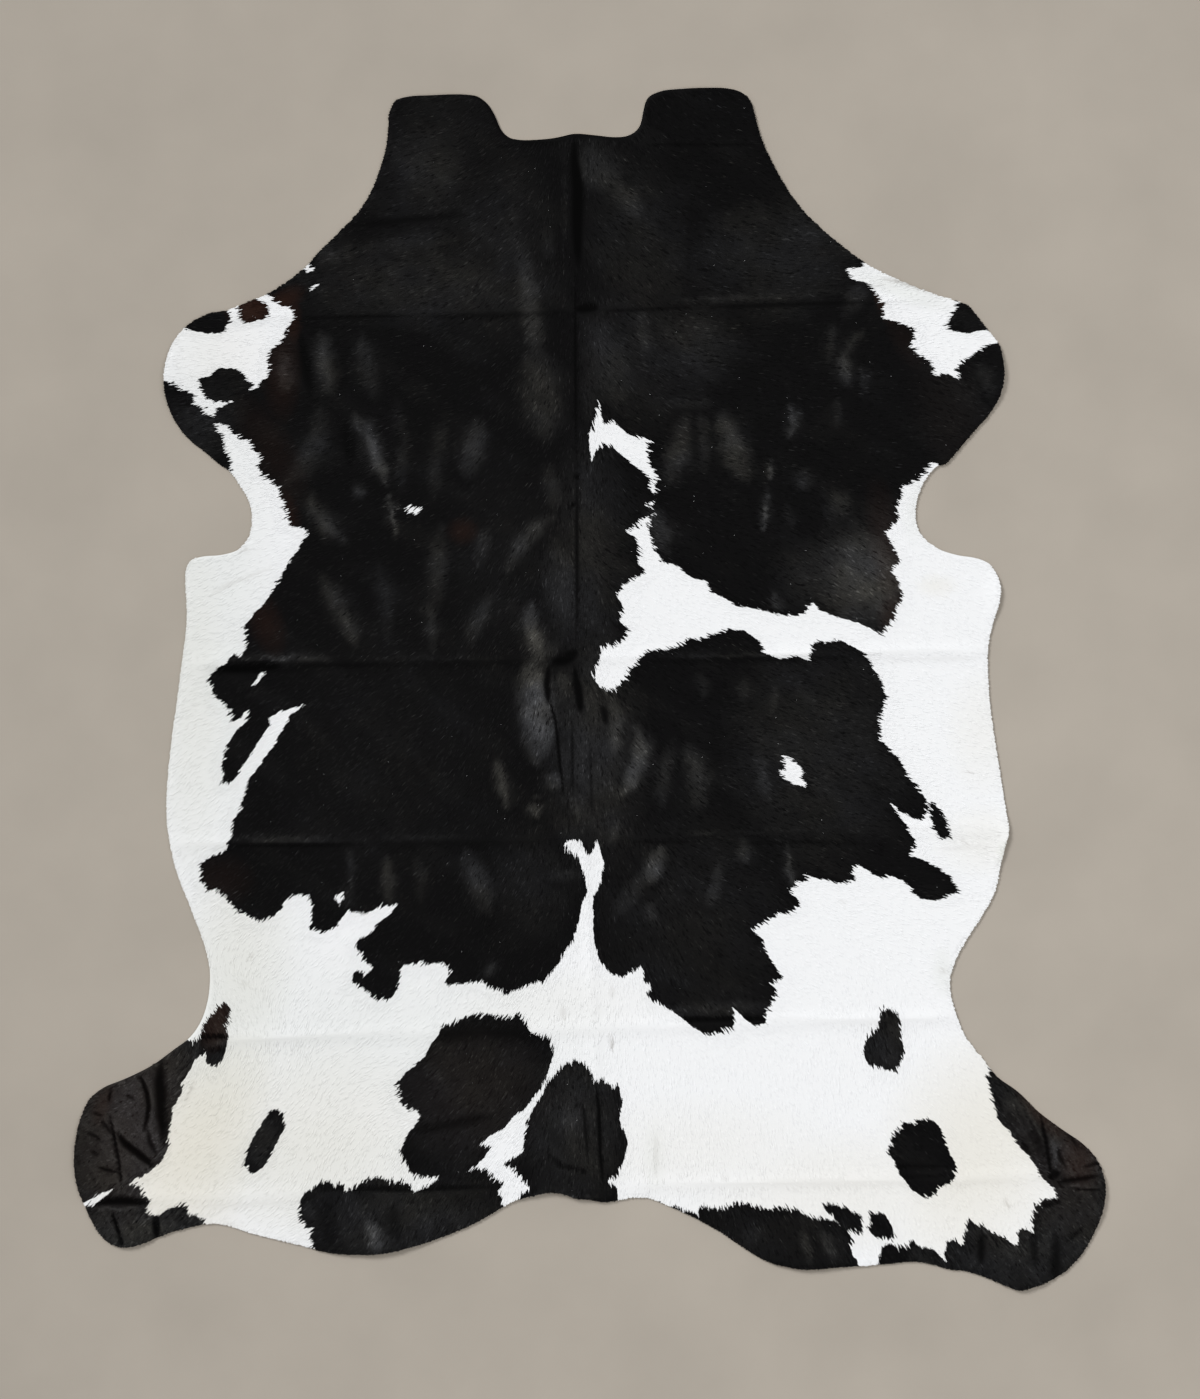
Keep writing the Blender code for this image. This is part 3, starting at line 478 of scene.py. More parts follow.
# Painted shade: strokes that darken the black hair where it lies in a fold or turns away.
SHADES = rows_of(Stroke, (
    # spine
    (((575, 134), (574, 160), (578, 190), (577, 230), (579, 272)), 12, 1.0),
    (((575, 270), (576, 460)), 3, 0.8), (((574, 311), (586, 308), (600, 307)), 9, 1.0),
    (((577, 460), (577, 640)), 4, 0.6), (((552, 664), (566, 659), (579, 650)), 11, 1.0),
    (((575, 666), (577, 700)), 6, 0.9), (((577, 474), (577, 480)), 6, 0.8),
    (((571, 504), (575, 506)), 6, 0.8), (((420, 1036), (480, 1027), (548, 1036)), 24, 0.4),
    (((412, 1132), (450, 1124), (500, 1114)), 12, 0.4), (((549, 664), (547, 684), (549, 706)), 7, 0.9),
    (((548, 690), (556, 724), (560, 765), (564, 796)), 3, 1.0), (((577, 676), (581, 714)), 8, 1.0),
    (((602, 704), (607, 726)), 8, 0.6), (((572, 716), (573, 800)), 3, 0.5),
    (((590, 740), (592, 820)), 3, 0.4), (((595, 1078), (599, 1110), (600, 1150), (604, 1190)), 4, 0.9),
    (((583, 1100), (588, 1160)), 4, 0.5), (((545, 1150), (560, 1165), (590, 1172)), 6, 0.4),
    # folds
    (((300, 319), (350, 317), (420, 316)), 4, 0.42), (((420, 317), (520, 316), (572, 312)), 7, 0.24),
    (((600, 312), (700, 307)), 4, 0.4), (((700, 308), (879, 302)), 5, 0.5),
    (((205, 669), (235, 668), (285, 666)), 11, 1.0), (((275, 666), (400, 664)), 6, 0.34),
    (((380, 664), (560, 663)), 6, 0.14), (((650, 663), (850, 658)), 6, 0.24),
    (((228, 845), (300, 845), (370, 844)), 4, 0.45), (((390, 844), (560, 842)), 4, 0.1),
    (((620, 842), (700, 842)), 4, 0.25), (((720, 845), (800, 842), (900, 845)), 5, 0.25),
    (((650, 1020), (775, 1018)), 6, 0.8), (((300, 1187), (400, 1188), (505, 1186)), 7, 0.6),
    (((889, 1166), (955, 1166)), 4, 0.5), (((889, 1176), (950, 1176)), 4, 0.4),
    (((500, 145), (570, 143)), 4, 0.4), (((645, 145), (760, 145)), 4, 0.4),
    (((345, 227), (470, 214)), 8, 0.4),
    # legs
    (((198, 1037), (212, 1036), (229, 1036)), 5, 1.0), (((208, 1050), (226, 1049)), 4, 0.5),
    (((136, 1072), (142, 1079), (147, 1092), (149, 1106), (147, 1120), (142, 1134)), 5, 1.0),
    (((162, 1056), (160, 1080), (162, 1110), (165, 1148)), 14, 0.8),
    (((148, 1128), (150, 1142), (158, 1156)), 6, 0.6),
    (((100, 1118), (108, 1128), (118, 1140)), 4, 0.6),
    (((116, 1130), (125, 1143), (138, 1153), (156, 1168)), 8, 1.0),
    (((109, 1110), (114, 1134), (119, 1160), (123, 1188)), 3, 1.0),
    (((111, 1088), (109, 1104)), 3, 0.9), (((84, 1131), (96, 1136), (104, 1142)), 4, 0.6),
    (((96, 1166), (108, 1170), (120, 1172)), 4, 0.7), (((86, 1202), (120, 1200), (152, 1202)), 10, 0.9),
    (((92, 1112), (104, 1116)), 4, 0.5), (((125, 1094), (136, 1100)), 4, 0.5),
    (((112, 1210), (117, 1226), (124, 1247)), 4, 1.0), (((156, 1214), (157, 1240)), 8, 0.8),
    (((180, 1215), (190, 1225)), 6, 0.4), (((326, 1198), (332, 1246)), 20, 0.3),
    (((392, 1200), (397, 1246)), 16, 0.32), (((90, 1150), (100, 1156)), 4, 0.4),
    (((1040, 1114), (1045, 1138), (1049, 1162), (1051, 1180)), 4, 1.0),
    (((1046, 1176), (1060, 1172)), 9, 1.0), (((1054, 1182), (1078, 1179), (1102, 1175)), 6, 0.7),
    (((1080, 1167), (1090, 1165), (1102, 1161)), 4, 0.6),
    (((1066, 1187), (1084, 1189), (1103, 1190)), 3, 0.6),
    (((1030, 1126), (1038, 1142), (1044, 1160)), 12, 0.4),
    (((1057, 1146), (1060, 1158), (1066, 1168)), 5, 0.6), (((1066, 1130), (1080, 1150)), 4, 0.6),
    (((1020, 1140), (1032, 1156)), 8, 0.4), (((1040, 1206), (1060, 1200)), 6, 0.5),
    (((1030, 1210), (1036, 1270)), 8, 0.4), (((981, 1230), (981, 1266)), 9, 0.6),
    (((1056, 1230), (1055, 1285)), 12, 0.5), (((1062, 1245), (1085, 1225)), 5, 0.4),
    (((300, 330), (312, 400)), 12, 0.5), (((345, 420), (352, 470)), 14, 0.4),
    (((398, 430), (400, 450)), 10, 0.3),
))

# Relief in metres: how far hair stands up under a painted sheen, sinks under a painted shade
# and crumples.
SHEEN_RISE, SHADE_SINK, CRUMPLE_RISE = 0.0012, 0.0009, 0.0004

# A stroke's sides fade, so it is drawn so many times as wide as its row says. The last two are
# for the relief.
SHADE_WIDENING, MARK_WIDENING, CREASE_WIDENING = 1.7, 1.8, 1.3
SHEEN_RELIEF_WIDENING, CREASE_RELIEF_WIDENING = 2.6, 2
# How strongly the folds paint shade on the black hair, and the painted shade that greys the white hair
# along the creases.
SHADE_STRENGTH, CREASE_GREY = 1.4, 0.16

# The share of its width that a stroke keeps at its very ends, squared.
END_WIDTH = 0.03

# A painted sheen is a bright core of painted highlight in a faint halo. FAINTER above 1 sets weak
# sheens further back. The core widens more the wider the sheen is, and a sheen well under THIN
# pixels has less halo.
CORE_SHARE, HALO_SHARE, FAINTER = 0.74, 0.30, 1.3
CORE_WIDENING, CORE_GROWTH = 1.5, 36
HALO_WIDENING, HALO_MARGIN, LEAST_HALO, THIN = 2.2, 16, 0.1, 12

# How far the painted strokes of light stray from their lines, and over which distance, in metres.
WOBBLE, WOBBLE_LENGTH, WOBBLE_SEEDS = 0.0035, 0.034, (28, 29)

# Areas of the black hair with a broad painted sheen, lighter throughout: an oval for each.
Tint = namedtuple("Tint", "centre turn along across strength")
GLOWS = rows_of(Tint, (
    ((145, 1130), 75, 130, 80, 0.38), ((140, 1230), 0, 90, 40, 0.28),
    ((1065, 1150), 130, 110, 60, 0.11), ((1040, 1240), 10, 130, 60, 0.15),
    ((470, 1090), 110, 110, 90, 0.15), ((575, 1125), 90, 90, 60, 0.22), ((595, 760), 90, 130, 60, 0.22),
    ((690, 920), 100, 130, 110, 0.08), ((400, 1215), 0, 130, 50, 0.22), ((780, 1235), 0, 120, 40, 0.07),
    ((430, 285), 0, 150, 50, 0.18), ((640, 250), 100, 120, 60, 0.12), ((800, 250), 50, 100, 60, 0.16),
    ((885, 580), 95, 90, 50, 0.2), ((815, 750), 95, 130, 100, 0.15), ((495, 250), 82, 120, 62, 0.11),
    ((640, 345), 90, 100, 70, 0.12), ((590, 545), 90, 130, 48, 0.15), ((500, 560), 90, 120, 60, 0.05),
    ((200, 430), 50, 70, 40, 0.14), ((264, 1142), 120, 50, 30, 0.18), ((430, 150), 60, 90, 60, 0.08),
    ((530, 880), 95, 70, 50, 0.1), ((390, 760), 90, 170, 130, 0.04), ((960, 410), 100, 80, 50, 0.06),
    ((225, 1035), 90, 50, 26, 0.22), ((885, 1040), 90, 46, 34, 0.2),
))

# Where the hide is crumpled finely: an oval for each.
CRUMPLED = rows_of(Tint, (
    ((135, 1135), 75, 130, 80, 1.0), ((135, 1230), 0, 100, 45, 0.7), ((1060, 1155), 130, 120, 60, 1.0),
    ((1030, 1240), 10, 120, 50, 0.6), ((590, 700), 90, 150, 34, 0.5), ((588, 540), 90, 110, 18, 0.6),
))

# Where the cut leather shows beyond the hair.
NOTCH = Tint((572, 132), 0, 110, 60, 2.4)

# Small grey marks in the white hair.
MARKS = rows_of(Stroke, (
    (((611, 1034), (613, 1048)), 4, 0.8), (((562, 1006), (565, 1016)), 7, 0.35),
    (((612, 985), (612, 998)), 7, 0.3), (((1004, 1200), (1009, 1206)), 5, 0.6),
    (((964, 768), (966, 773)), 3, 0.6), (((961, 838), (963, 848)), 3, 0.5),
    (((249, 958), (254, 955)), 4, 0.7), (((243, 552), (248, 548)), 5, 0.5),
    (((241, 980), (248, 986)), 4, 0.4), (((940, 966), (945, 974)), 4, 0.4),
    (((838, 898), (843, 904)), 5, 0.3), (((722, 1176), (729, 1179)), 6, 0.3),
    (((655, 1130), (656, 1150), (655, 1180)), 5, 0.25), (((205, 598), (240, 580), (278, 566)), 3, 0.35),
    (((215, 590), (250, 575)), 3, 0.3), (((195, 1078), (191, 1092), (183, 1107)), 2, 0.6),
    (((876, 277), (905, 285), (944, 297)), 4, 0.9), (((866, 289), (884, 281)), 2, 0.4),
    (((940, 290), (944, 296)), 5, 0.4), (((240, 301), (258, 296)), 3, 0.6),
    (((195, 300), (210, 306)), 3, 0.3),
))

# Tints of the coat, and painted shade on the white hair: centre in pixels, turn in degrees, half
# lengths in pixels and strength.
BROWN = rows_of(Tint, (
    ((253, 310), 0, 30, 24, 1.0), ((280, 305), 35, 34, 14, 0.8), ((293, 322), 90, 30, 10, 0.6),
    ((282, 370), 90, 60, 22, 0.35), ((272, 450), 120, 70, 26, 0.2), ((288, 515), 100, 34, 14, 0.45),
    ((266, 622), 110, 40, 20, 0.4), ((463, 531), 0, 18, 16, 0.45), ((883, 300), 110, 30, 9, 0.8),
    ((905, 340), 120, 40, 16, 0.15), ((950, 420), 110, 90, 40, 0.05), ((888, 550), 100, 80, 22, 0.25),
    ((895, 615), 90, 30, 20, 0.35), ((104, 1104), 70, 34, 14, 0.45), ((130, 1120), 80, 120, 70, 0.24),
    ((216, 1020), 80, 36, 20, 0.6), ((1042, 1112), 130, 50, 14, 0.5), ((1078, 1160), 100, 40, 24, 0.5),
    ((1050, 1170), 130, 90, 50, 0.1), ((470, 1090), 0, 90, 80, 0.1), ((220, 880), 0, 40, 30, 0.2),
))
CREAM = rows_of(Tint, (
    ((190, 1150), 60, 150, 90, 1.0), ((300, 1140), 0, 170, 110, 0.45), ((180, 1225), 0, 80, 30, 0.6),
    ((980, 1150), 60, 150, 110, 0.75), ((860, 1190), 0, 200, 70, 0.4), ((980, 730), 90, 70, 40, 0.25),
    ((985, 840), 0, 60, 40, 0.3), ((240, 950), 90, 120, 60, 0.3), ((190, 700), 90, 200, 40, 0.2),
    ((560, 1000), 0, 120, 40, 0.15), ((935, 585), 0, 24, 14, 0.35), ((220, 350), 0, 60, 50, 0.2),
    ((700, 1150), 0, 160, 60, 0.25),
))
# Painted shade that greys the white hair, over broad areas and in small places.
SHADY = rows_of(Tint, (
    ((200, 640), 90, 330, 90, 0.55), ((230, 1000), 90, 160, 110, 0.55), ((380, 1040), 0, 260, 110, 0.4),
    ((330, 1160), 0, 160, 90, 0.35), ((232, 975), 60, 50, 20, 0.5), ((915, 510), 90, 40, 20, 0.35),
    ((240, 582), 0, 50, 24, 0.35), ((942, 970), 90, 30, 14, 0.4), ((655, 1155), 90, 40, 14, 0.3),
    ((1003, 850), 60, 16, 8, 0.8), ((225, 470), 60, 60, 26, 0.3), ((900, 290), 160, 70, 14, 0.5),
))

# How far the edges between the colours stray from the outlines above, and the length and the
# width of the teeth that the hair gives them, in metres.
RAGGED = 0.0008
TOOTH_LENGTH, TOOTH_WIDTH = 0.0054, 0.0032

# Layers of teeth: strength, width and length as shares of the above, and seed.
TEETH = ((0.45, 0.5, 1.0, 41), (0.4, 0.25, 0.6, 42))
LONGEST_TOOTH = 1.1

# Unevenness over the hide in layers of waves: size, wavelength in metres and seed.
EDGE_WAVES = ((1.0, 0.013, 31), (0.6, 0.007, 32))
TURN_WAVES = ((0.10, 0.10, 11), (0.08, 0.04, 12))
GLOSS_WAVES = ((0.22, 0.05, 21), (0.16, 0.016, 22))
STRAY_GLOSS_WAVES = ((1.0, 0.08, 23),)
CRUMPLE_GLOSS_WAVES = ((0.6, 0.011, 24),)
CRUMPLE_WAVES = ((1.0, 0.012, 25),)
WARM_WAVES = ((0.6, 0.16, 26), (0.3, 0.06, 27))
WAVES_IN_LAYER, WAVE_SPREAD = 8, (0.7, 1.6)

# Painted sheen on the black hair, which also sets its roughness: its average and bounds, what
# crumpled hair and stray hairs add, and the share that a fold's painted shade takes away.
GLOSS_MEAN, GLOSS_BOUNDS = 0.90, (0.25, 1.5)
CRUMPLE_GLOSS, STRAY_GLOSS, SHADE_DIMMING = 0.3, 0.035, 0.95
CRUMPLE_MEAN, WARM_MEAN = 0.5, 0.5

# The cells along a side of the table of random values, how many tables the hide lies from its
# first cell, and the samples taken along the hair.
CELLS, TABLES_AWAY, COMB_STOPS = 256, 16, 7

# Distance of the points that stand for an outline when distances to it are taken, in metres, and
# the most points that are tested against a loop at a time.
MARK_STEP = 0.0008
TESTED_AT_ONCE = 4096

# Which way a face of the solid looks, by the height of its normal: up, or sideways.
LOOKS_UP, LOOKS_SIDEWAYS = 0.5, 0.2

# The triangulation keeps the triangles inside the loop, and joins points that are so near.
INSIDE_ONLY, SAME_POINT = 1, 1e-7

# Room around the hide on the square that its pieces' maps share, in metres.
MAP_MARGIN = 0.04

# How the hair lies: at a pixel, the angle from straight towards the tail, towards +X, in degrees.
Lay = namedtuple("Lay", "pixel turn")
LAYS = rows_of(Lay, (
    # along the spine
    ((575, 180), 0), ((578, 330), 0), ((578, 480), 0), ((580, 620), 0), ((586, 760), 0),
    ((590, 900), 0), ((592, 1010), 0), ((575, 1080), 2), ((600, 1170), 3), ((560, 1190), -8),
    # left of the spine
    ((500, 180), -55), ((520, 320), -50), ((525, 470), -45), ((520, 620), -35), ((515, 760), -28),
    ((520, 920), -30), ((520, 1040), -32), ((500, 1120), -38),
    # left side
    ((420, 160), -70), ((400, 280), -72), ((410, 400), -70), ((410, 540), -62), ((400, 680), -52),
    ((400, 820), -46), ((390, 940), -40), ((400, 1090), -55), ((400, 1180), -25), ((330, 1190), -18),
    ((305, 1220), -55),
    # left legs and edge
    ((200, 330), -88), ((250, 310), -80), ((290, 350), -82), ((240, 430), -75), ((290, 500), -70),
    ((270, 600), -58), ((220, 700), -55), ((260, 780), -46), ((220, 880), -48), ((300, 930), -42),
    ((215, 1015), 40), ((212, 1060), -25), ((170, 1080), -50), ((110, 1130), -60), ((260, 1140), -45),
    ((150, 1200), -45), ((120, 1240), -40),
    # right of the spine
    ((620, 200), 60), ((625, 340), 55), ((650, 460), 68), ((640, 560), 62), ((640, 640), 58),
    ((645, 760), 50), ((640, 900), 35), ((640, 975), 22), ((660, 1090), 20),
    # right side
    ((720, 200), 72), ((720, 340), 82), ((730, 480), 78), ((720, 600), 62), ((730, 720), 76),
    ((730, 860), 66), ((700, 1010), 42), ((770, 980), 55), ((760, 1110), 30), ((700, 1210), 12),
    ((790, 1210), 30),
    # right legs and edge
    ((820, 300), 88), ((900, 330), 92), ((960, 320), 100), ((955, 375), 62), ((1000, 380), 80),
    ((880, 420), 84), ((860, 560), 60), ((890, 620), 55), ((850, 640), 70), ((870, 740), 72),
    ((930, 800), 62), ((930, 880), 74), ((850, 880), 66), ((885, 1040), 18), ((925, 1160), 50),
    ((990, 1090), 48), ((1040, 1160), 52), ((1000, 1230), 34), ((910, 1245), 30), ((960, 980), 60),
))
LAY_SOFTNESS = 0.030

# The bands of the hide that the hair is made in, from the neck to the tail: lowest pixel of each.
BANDS = (("neck", 310), ("shoulders", 490), ("girth", 657), ("belly", 838), ("flanks", 1028),
         ("rump", 1142), ("tail", 1400))


# ------------------------------
# Places, loops and fields over the hide. Arrays of points have one row (x, y) for each point.
# ------------------------------

def place(pixels):
    """Points of the hide, in metres, that pixels (right, down) show."""
    pixels = np.asarray(pixels, float).reshape(-1, 2)
    return (pixels - HIDE_MIDDLE) * (PIXEL, -PIXEL)


def tree_of(points):
    tree = KDTree(len(points))
    for i, (x, y) in enumerate(points.tolist()):
        tree.insert((x, y, 0.0), i)
    tree.balance()
    return tree


def distance_to(xy, tree):
    """The distance from each point to the nearest point of a tree."""
    return np.array([tree.find((x, y, 0.0))[2] for x, y in xy.tolist()])


def distance_to_loop(xy, loop):
    return distance_to(xy, tree_of(evenly(loop, MARK_STEP)))


def within(xy, loop):
    """Whether each point lies inside a closed loop of points."""
    starts, ends = loop, np.roll(loop, -1, axis=0)
    rise = ends[:, 1] - starts[:, 1]
    slope = (ends[:, 0] - starts[:, 0]) / np.where(rise == 0, 1.0, rise)
    found = np.zeros(len(xy), bool)
    box = (xy >= loop.min(axis=0)).all(axis=1) & (xy <= loop.max(axis=0)).all(axis=1)
    picked = np.flatnonzero(box)
    for first in range(0, len(picked), TESTED_AT_ONCE):
        rows = picked[first:first + TESTED_AT_ONCE]
        x, y = xy[rows, :1], xy[rows, 1:]
        crosses = (starts[:, 1] > y) != (ends[:, 1] > y)
        meeting = starts[:, 0] + (y - starts[:, 1]) * slope
        found[rows] = (crosses & (meeting > x)).sum(axis=1) % 2 == 1
    return found


def in_dark(xy):
    """Whether each point lies in a dark patch. A later patch lies over the earlier ones."""
    dark = np.zeros(len(xy), bool)
    for patch in COAT:
        dark[within(xy, place(patch.points))] = patch.dark
    return dark


@cache
def colour_line():
    """The points along the lines where dark hair and white hair meet."""
    marks = []
    for patch in COAT:
        loop = evenly(place(patch.points), MARK_STEP)
        inner, outer = (in_dark(drawn_in(loop, side * MARK_STEP)) for side in (0.5, -0.5))
        marks.append(loop[inner != outer])
    return tree_of(np.concatenate(marks))


def dark_depth(xy):
    """How deep each point lies in dark hair, in metres: below 0 in white hair."""
    side = np.where(in_dark(xy), 1.0, -1.0)
    return side * distance_to(xy, colour_line()) + RAGGED * waves(xy, EDGE_WAVES)


def held(values):
    """Values held between 0 and 1."""
    return np.clip(values, 0.0, 1.0)


def bell(share):
    """A smooth bump: 1 in the middle, 0 from a share of 1 outwards."""
    return np.cos(np.pi / 2 * held(share))**2


def stroke(xy, points, width, fade=4):
    """A bump over a line of pixels that tapers towards both of its ends, and fades towards them
    the sooner the smaller the even number is."""
    corners = place(points)
    sides = np.diff(corners, axis=0)
    lengths = np.hypot(*sides.T)
    before = np.concatenate(([0.0], np.cumsum(lengths)))
    reach = width * PIXEL
    low, high = corners.min(axis=0) - reach, corners.max(axis=0) + reach
    rows = np.flatnonzero((xy >= low).all(axis=1) & (xy <= high).all(axis=1))
    best = np.zeros(len(rows))
    for corner, side, length, travelled in zip(corners, sides, lengths, before):
        away = xy[rows] - corner
        share = held(away @ side / length**2)
        gap = np.hypot(*(away - share[:, None] * side).T)
        along = (travelled + share * length) / before[-1]
        half = reach / 2 * np.sqrt(np.clip(1.0 - (2 * along - 1)**2, END_WIDTH, 1.0))
        taper = held(1.0 - (2 * along - 1)**fade)
        best = np.maximum(best, bell(gap / half) * taper)
    found = np.zeros(len(xy))
    found[rows] = best
    return found


def oval(xy, centre, turn, along, across):
    """A bump over an oval, whose half lengths are in metres."""
    away = xy - place(centre)
    cosine, sine = math.cos(math.radians(turn)), math.sin(math.radians(turn))
    lengthways = (away[:, 0] * cosine + away[:, 1] * sine) / along
    sideways = (away[:, 1] * cosine - away[:, 0] * sine) / across
    return bell(np.hypot(lengthways, sideways))


def bump(xy, row):
    """A bump over the oval of a tint."""
    return oval(xy, row.centre, row.turn, row.along * PIXEL, row.across * PIXEL)


def tint(xy, rows):
    """The strongest of some tints at each point."""
    found = np.zeros(len(xy))
    for row in rows:
        found = np.maximum(found, row.strength * np.sqrt(bump(xy, row)))
    return found


def strokes(xy, rows, widen):
    """The strongest of some strokes at each point, each widened by a factor."""
    found = np.zeros(len(xy))
    for row in rows:
        found = np.maximum(found, row.strength * stroke(xy, row.points, row.width * widen))
    return found


def shade(xy):
    """How deep the hair at each point lies in a fold, as the strength of the fold's painted shade."""
    return held(SHADE_STRENGTH * strokes(xy, SHADES, SHADE_WIDENING))


def sheen(xy):
    """Soft strokes of painted highlight on the black hair, each in a wide faint painted halo."""
    stray = [ripple(xy, WOBBLE_LENGTH, seed) for seed in WOBBLE_SEEDS]
    xy = xy + WOBBLE * np.column_stack(stray)
    core, halo = np.zeros(len(xy)), np.zeros(len(xy))
    for points, width, strength in SHEENS:
        bright = strength**FAINTER
        soft = width * (CORE_WIDENING + width / CORE_GROWTH)
        core = np.maximum(core, bright * stroke(xy, points, soft, 2))
        faint = bright * min(1.0, LEAST_HALO + width / THIN)
        halo = np.maximum(halo, faint * stroke(xy, points, width * HALO_WIDENING + HALO_MARGIN, 2))
    return CORE_SHARE * core + HALO_SHARE * halo


def gloss(xy):
    """How much painted sheen the hair at each point has; it also sets the hair's roughness."""
    uneven = np.clip(GLOSS_MEAN + waves(xy, GLOSS_WAVES), *GLOSS_BOUNDS)
    crumple = held(tint(xy, CRUMPLED) * (CRUMPLE_MEAN + waves(xy, CRUMPLE_GLOSS_WAVES)))
    bright = np.maximum(sheen(xy), tint(xy, GLOWS)) + CRUMPLE_GLOSS * crumple
    stray = STRAY_GLOSS * held(waves(xy, STRAY_GLOSS_WAVES))
    return (bright * uneven + stray) * (1.0 - SHADE_DIMMING * shade(xy))


def warmth(xy):
    """How warm the painted sheen on the black hair is, in patches."""
    return held(WARM_MEAN + waves(xy, WARM_WAVES))


def crease_line(xy):
    """How much a mark, or the painted shade along a crease, greys the white hair at each point."""
    found = strokes(xy, MARKS, MARK_WIDENING)
    for points, width, _ in CREASES:
        found = np.maximum(found, CREASE_GREY * stroke(xy, points, width * CREASE_WIDENING))
    return found


def coat_fields(xy, middles):
    """What the coat is like at points on the skin, and at the middles of the hair rooted there."""
    # Beside the hair's own brown and cream, these carry painted sheen and its warmth, painted shade on
    # the white hair and in folds, and grey marks with painted shade along creases.
    return {
        "brown": tint(middles, BROWN), "cream": tint(xy, CREAM), "shady": tint(xy, SHADY),
        "gloss": gloss(middles), "crease": crease_line(xy), "deep": shade(middles),
        "warm": warmth(xy),
    }


def ridge_height(xy, ridge):
    start, end = place(ridge.start)[0], place(ridge.end)[0]
    length = np.hypot(*(end - start))
    direction = (end - start) / length
    along = (xy - start) @ direction
    across = (xy[:, 1] - start[1]) * direction[0] - (xy[:, 0] - start[0]) * direction[1]
    beyond = np.maximum(np.maximum(-along, along - length), 0.0)
    flank = held(1.0 - np.abs(across) / ridge.foot)**RIDGE_STEEPNESS
    return RIDGE_SHARE * ridge.height * flank * bell(beyond / RIDGE_FADE)


def lift(xy):
    """How far the leather's underside stands over the floor."""
    found = np.zeros(len(xy))
    for ridge in RIDGES:
        found = np.maximum(found, ridge_height(xy, ridge))
    for swell in SWELLS:
        rise = oval(xy, swell.centre, swell.turn, swell.along, swell.across)
        found = np.maximum(found, swell.height * rise)
    return found


def wrinkles(xy):
    """The narrow creases, and the soft ridges where the hair stands up."""
    found = SHEEN_RISE * strokes(xy, SHEENS, SHEEN_RELIEF_WIDENING) - SHADE_SINK * shade(xy)
    found = found + CRUMPLE_RISE * tint(xy, CRUMPLED) * waves(xy, CRUMPLE_WAVES)
    for points, width, height in CREASES:
        found = found + height * stroke(xy, points, width * CREASE_RELIEF_WIDENING)
    return found


def ripple(xy, wavelength, seed):
    """Smooth unevenness between about -1 and 1."""
    dice = np.random.default_rng(seed)
    turns, phases = dice.uniform(0, 2 * np.pi, (2, WAVES_IN_LAYER))
    sizes = 2 * np.pi / (wavelength * dice.uniform(*WAVE_SPREAD, WAVES_IN_LAYER))
    rises = np.sin(np.outer(xy[:, 0], np.cos(turns) * sizes)
                   + np.outer(xy[:, 1], np.sin(turns) * sizes) + phases)
    return rises.sum(axis=1) / (WAVES_IN_LAYER / 2)


def waves(xy, layers):
    """The sum of some layers of unevenness."""
    return sum(size * ripple(xy, wavelength, seed) for size, wavelength, seed in layers)


def hair_turn(xy):
    """The hair's direction, as an angle from straight towards the tail, towards +X."""
    sideways, tailwards = np.zeros(len(xy)), np.zeros(len(xy))
    for lay in LAYS:
        pull = (((xy - place(lay.pixel))**2).sum(axis=1) + LAY_SOFTNESS**2)**-2
        sideways += pull * math.sin(math.radians(lay.turn))
        tailwards += pull * math.cos(math.radians(lay.turn))
    return np.arctan2(sideways, tailwards) + waves(xy, TURN_WAVES)


def along_hair(turn):
    return np.column_stack((np.sin(turn), -np.cos(turn)))


def speckle(xy, cell, seed):
    """Random values from 0 to 1 on a square lattice of cells, blended in between."""
    table = np.random.default_rng(seed).random((CELLS, CELLS))
    spot = xy / cell + TABLES_AWAY * CELLS
    first = np.floor(spot).astype(int)
    share = spot - first
    share = share * share * (3 - 2 * share)
    column, row = first[:, 0] % CELLS, first[:, 1] % CELLS
    after_column, after_row = (column + 1) % CELLS, (row + 1) % CELLS

    def along_row(row):
        return table[row, column] * (1 - share[:, 0]) + table[row, after_column] * share[:, 0]

    return along_row(row) * (1 - share[:, 1]) + along_row(after_row) * share[:, 1]


def combed(xy, flat, cell, reach, seed):
    """Unevenness drawn out along the hair, mostly between -2 and 2."""
    stops = np.linspace(-reach, reach, COMB_STOPS)
    values = sum(speckle(xy + flat * stop, cell, seed) for stop in stops) / COMB_STOPS - 0.5
    return values / values.std()


def toothed_depth(xy, flat):
    """How deep each point lies in dark hair, with the teeth that the hair gives the edges."""
    teeth = sum(strength * combed(xy, flat, TOOTH_WIDTH * width, TOOTH_LENGTH * length, seed)
                for strength, width, length, seed in TEETH)
    shift = TOOTH_LENGTH * np.clip(teeth, -LONGEST_TOOTH, LONGEST_TOOTH)
    return dark_depth(xy + flat * shift[:, None])


def lattice(step):
    """Staggered rows of points over the hide's box."""
    half_width = CAD_BOX[1][0] + step
    half_length = CAD_BOX[1][1] + step
    row_step = step * math.sqrt(3) / 2
    rows = np.arange(-half_length, half_length, row_step)
    columns = np.arange(-half_width, half_width, step)
    x, y = np.meshgrid(columns, rows)
    x = x + step / 2 * (np.arange(len(rows))[:, None] % 2)
    return np.column_stack((x.ravel(), y.ravel()))


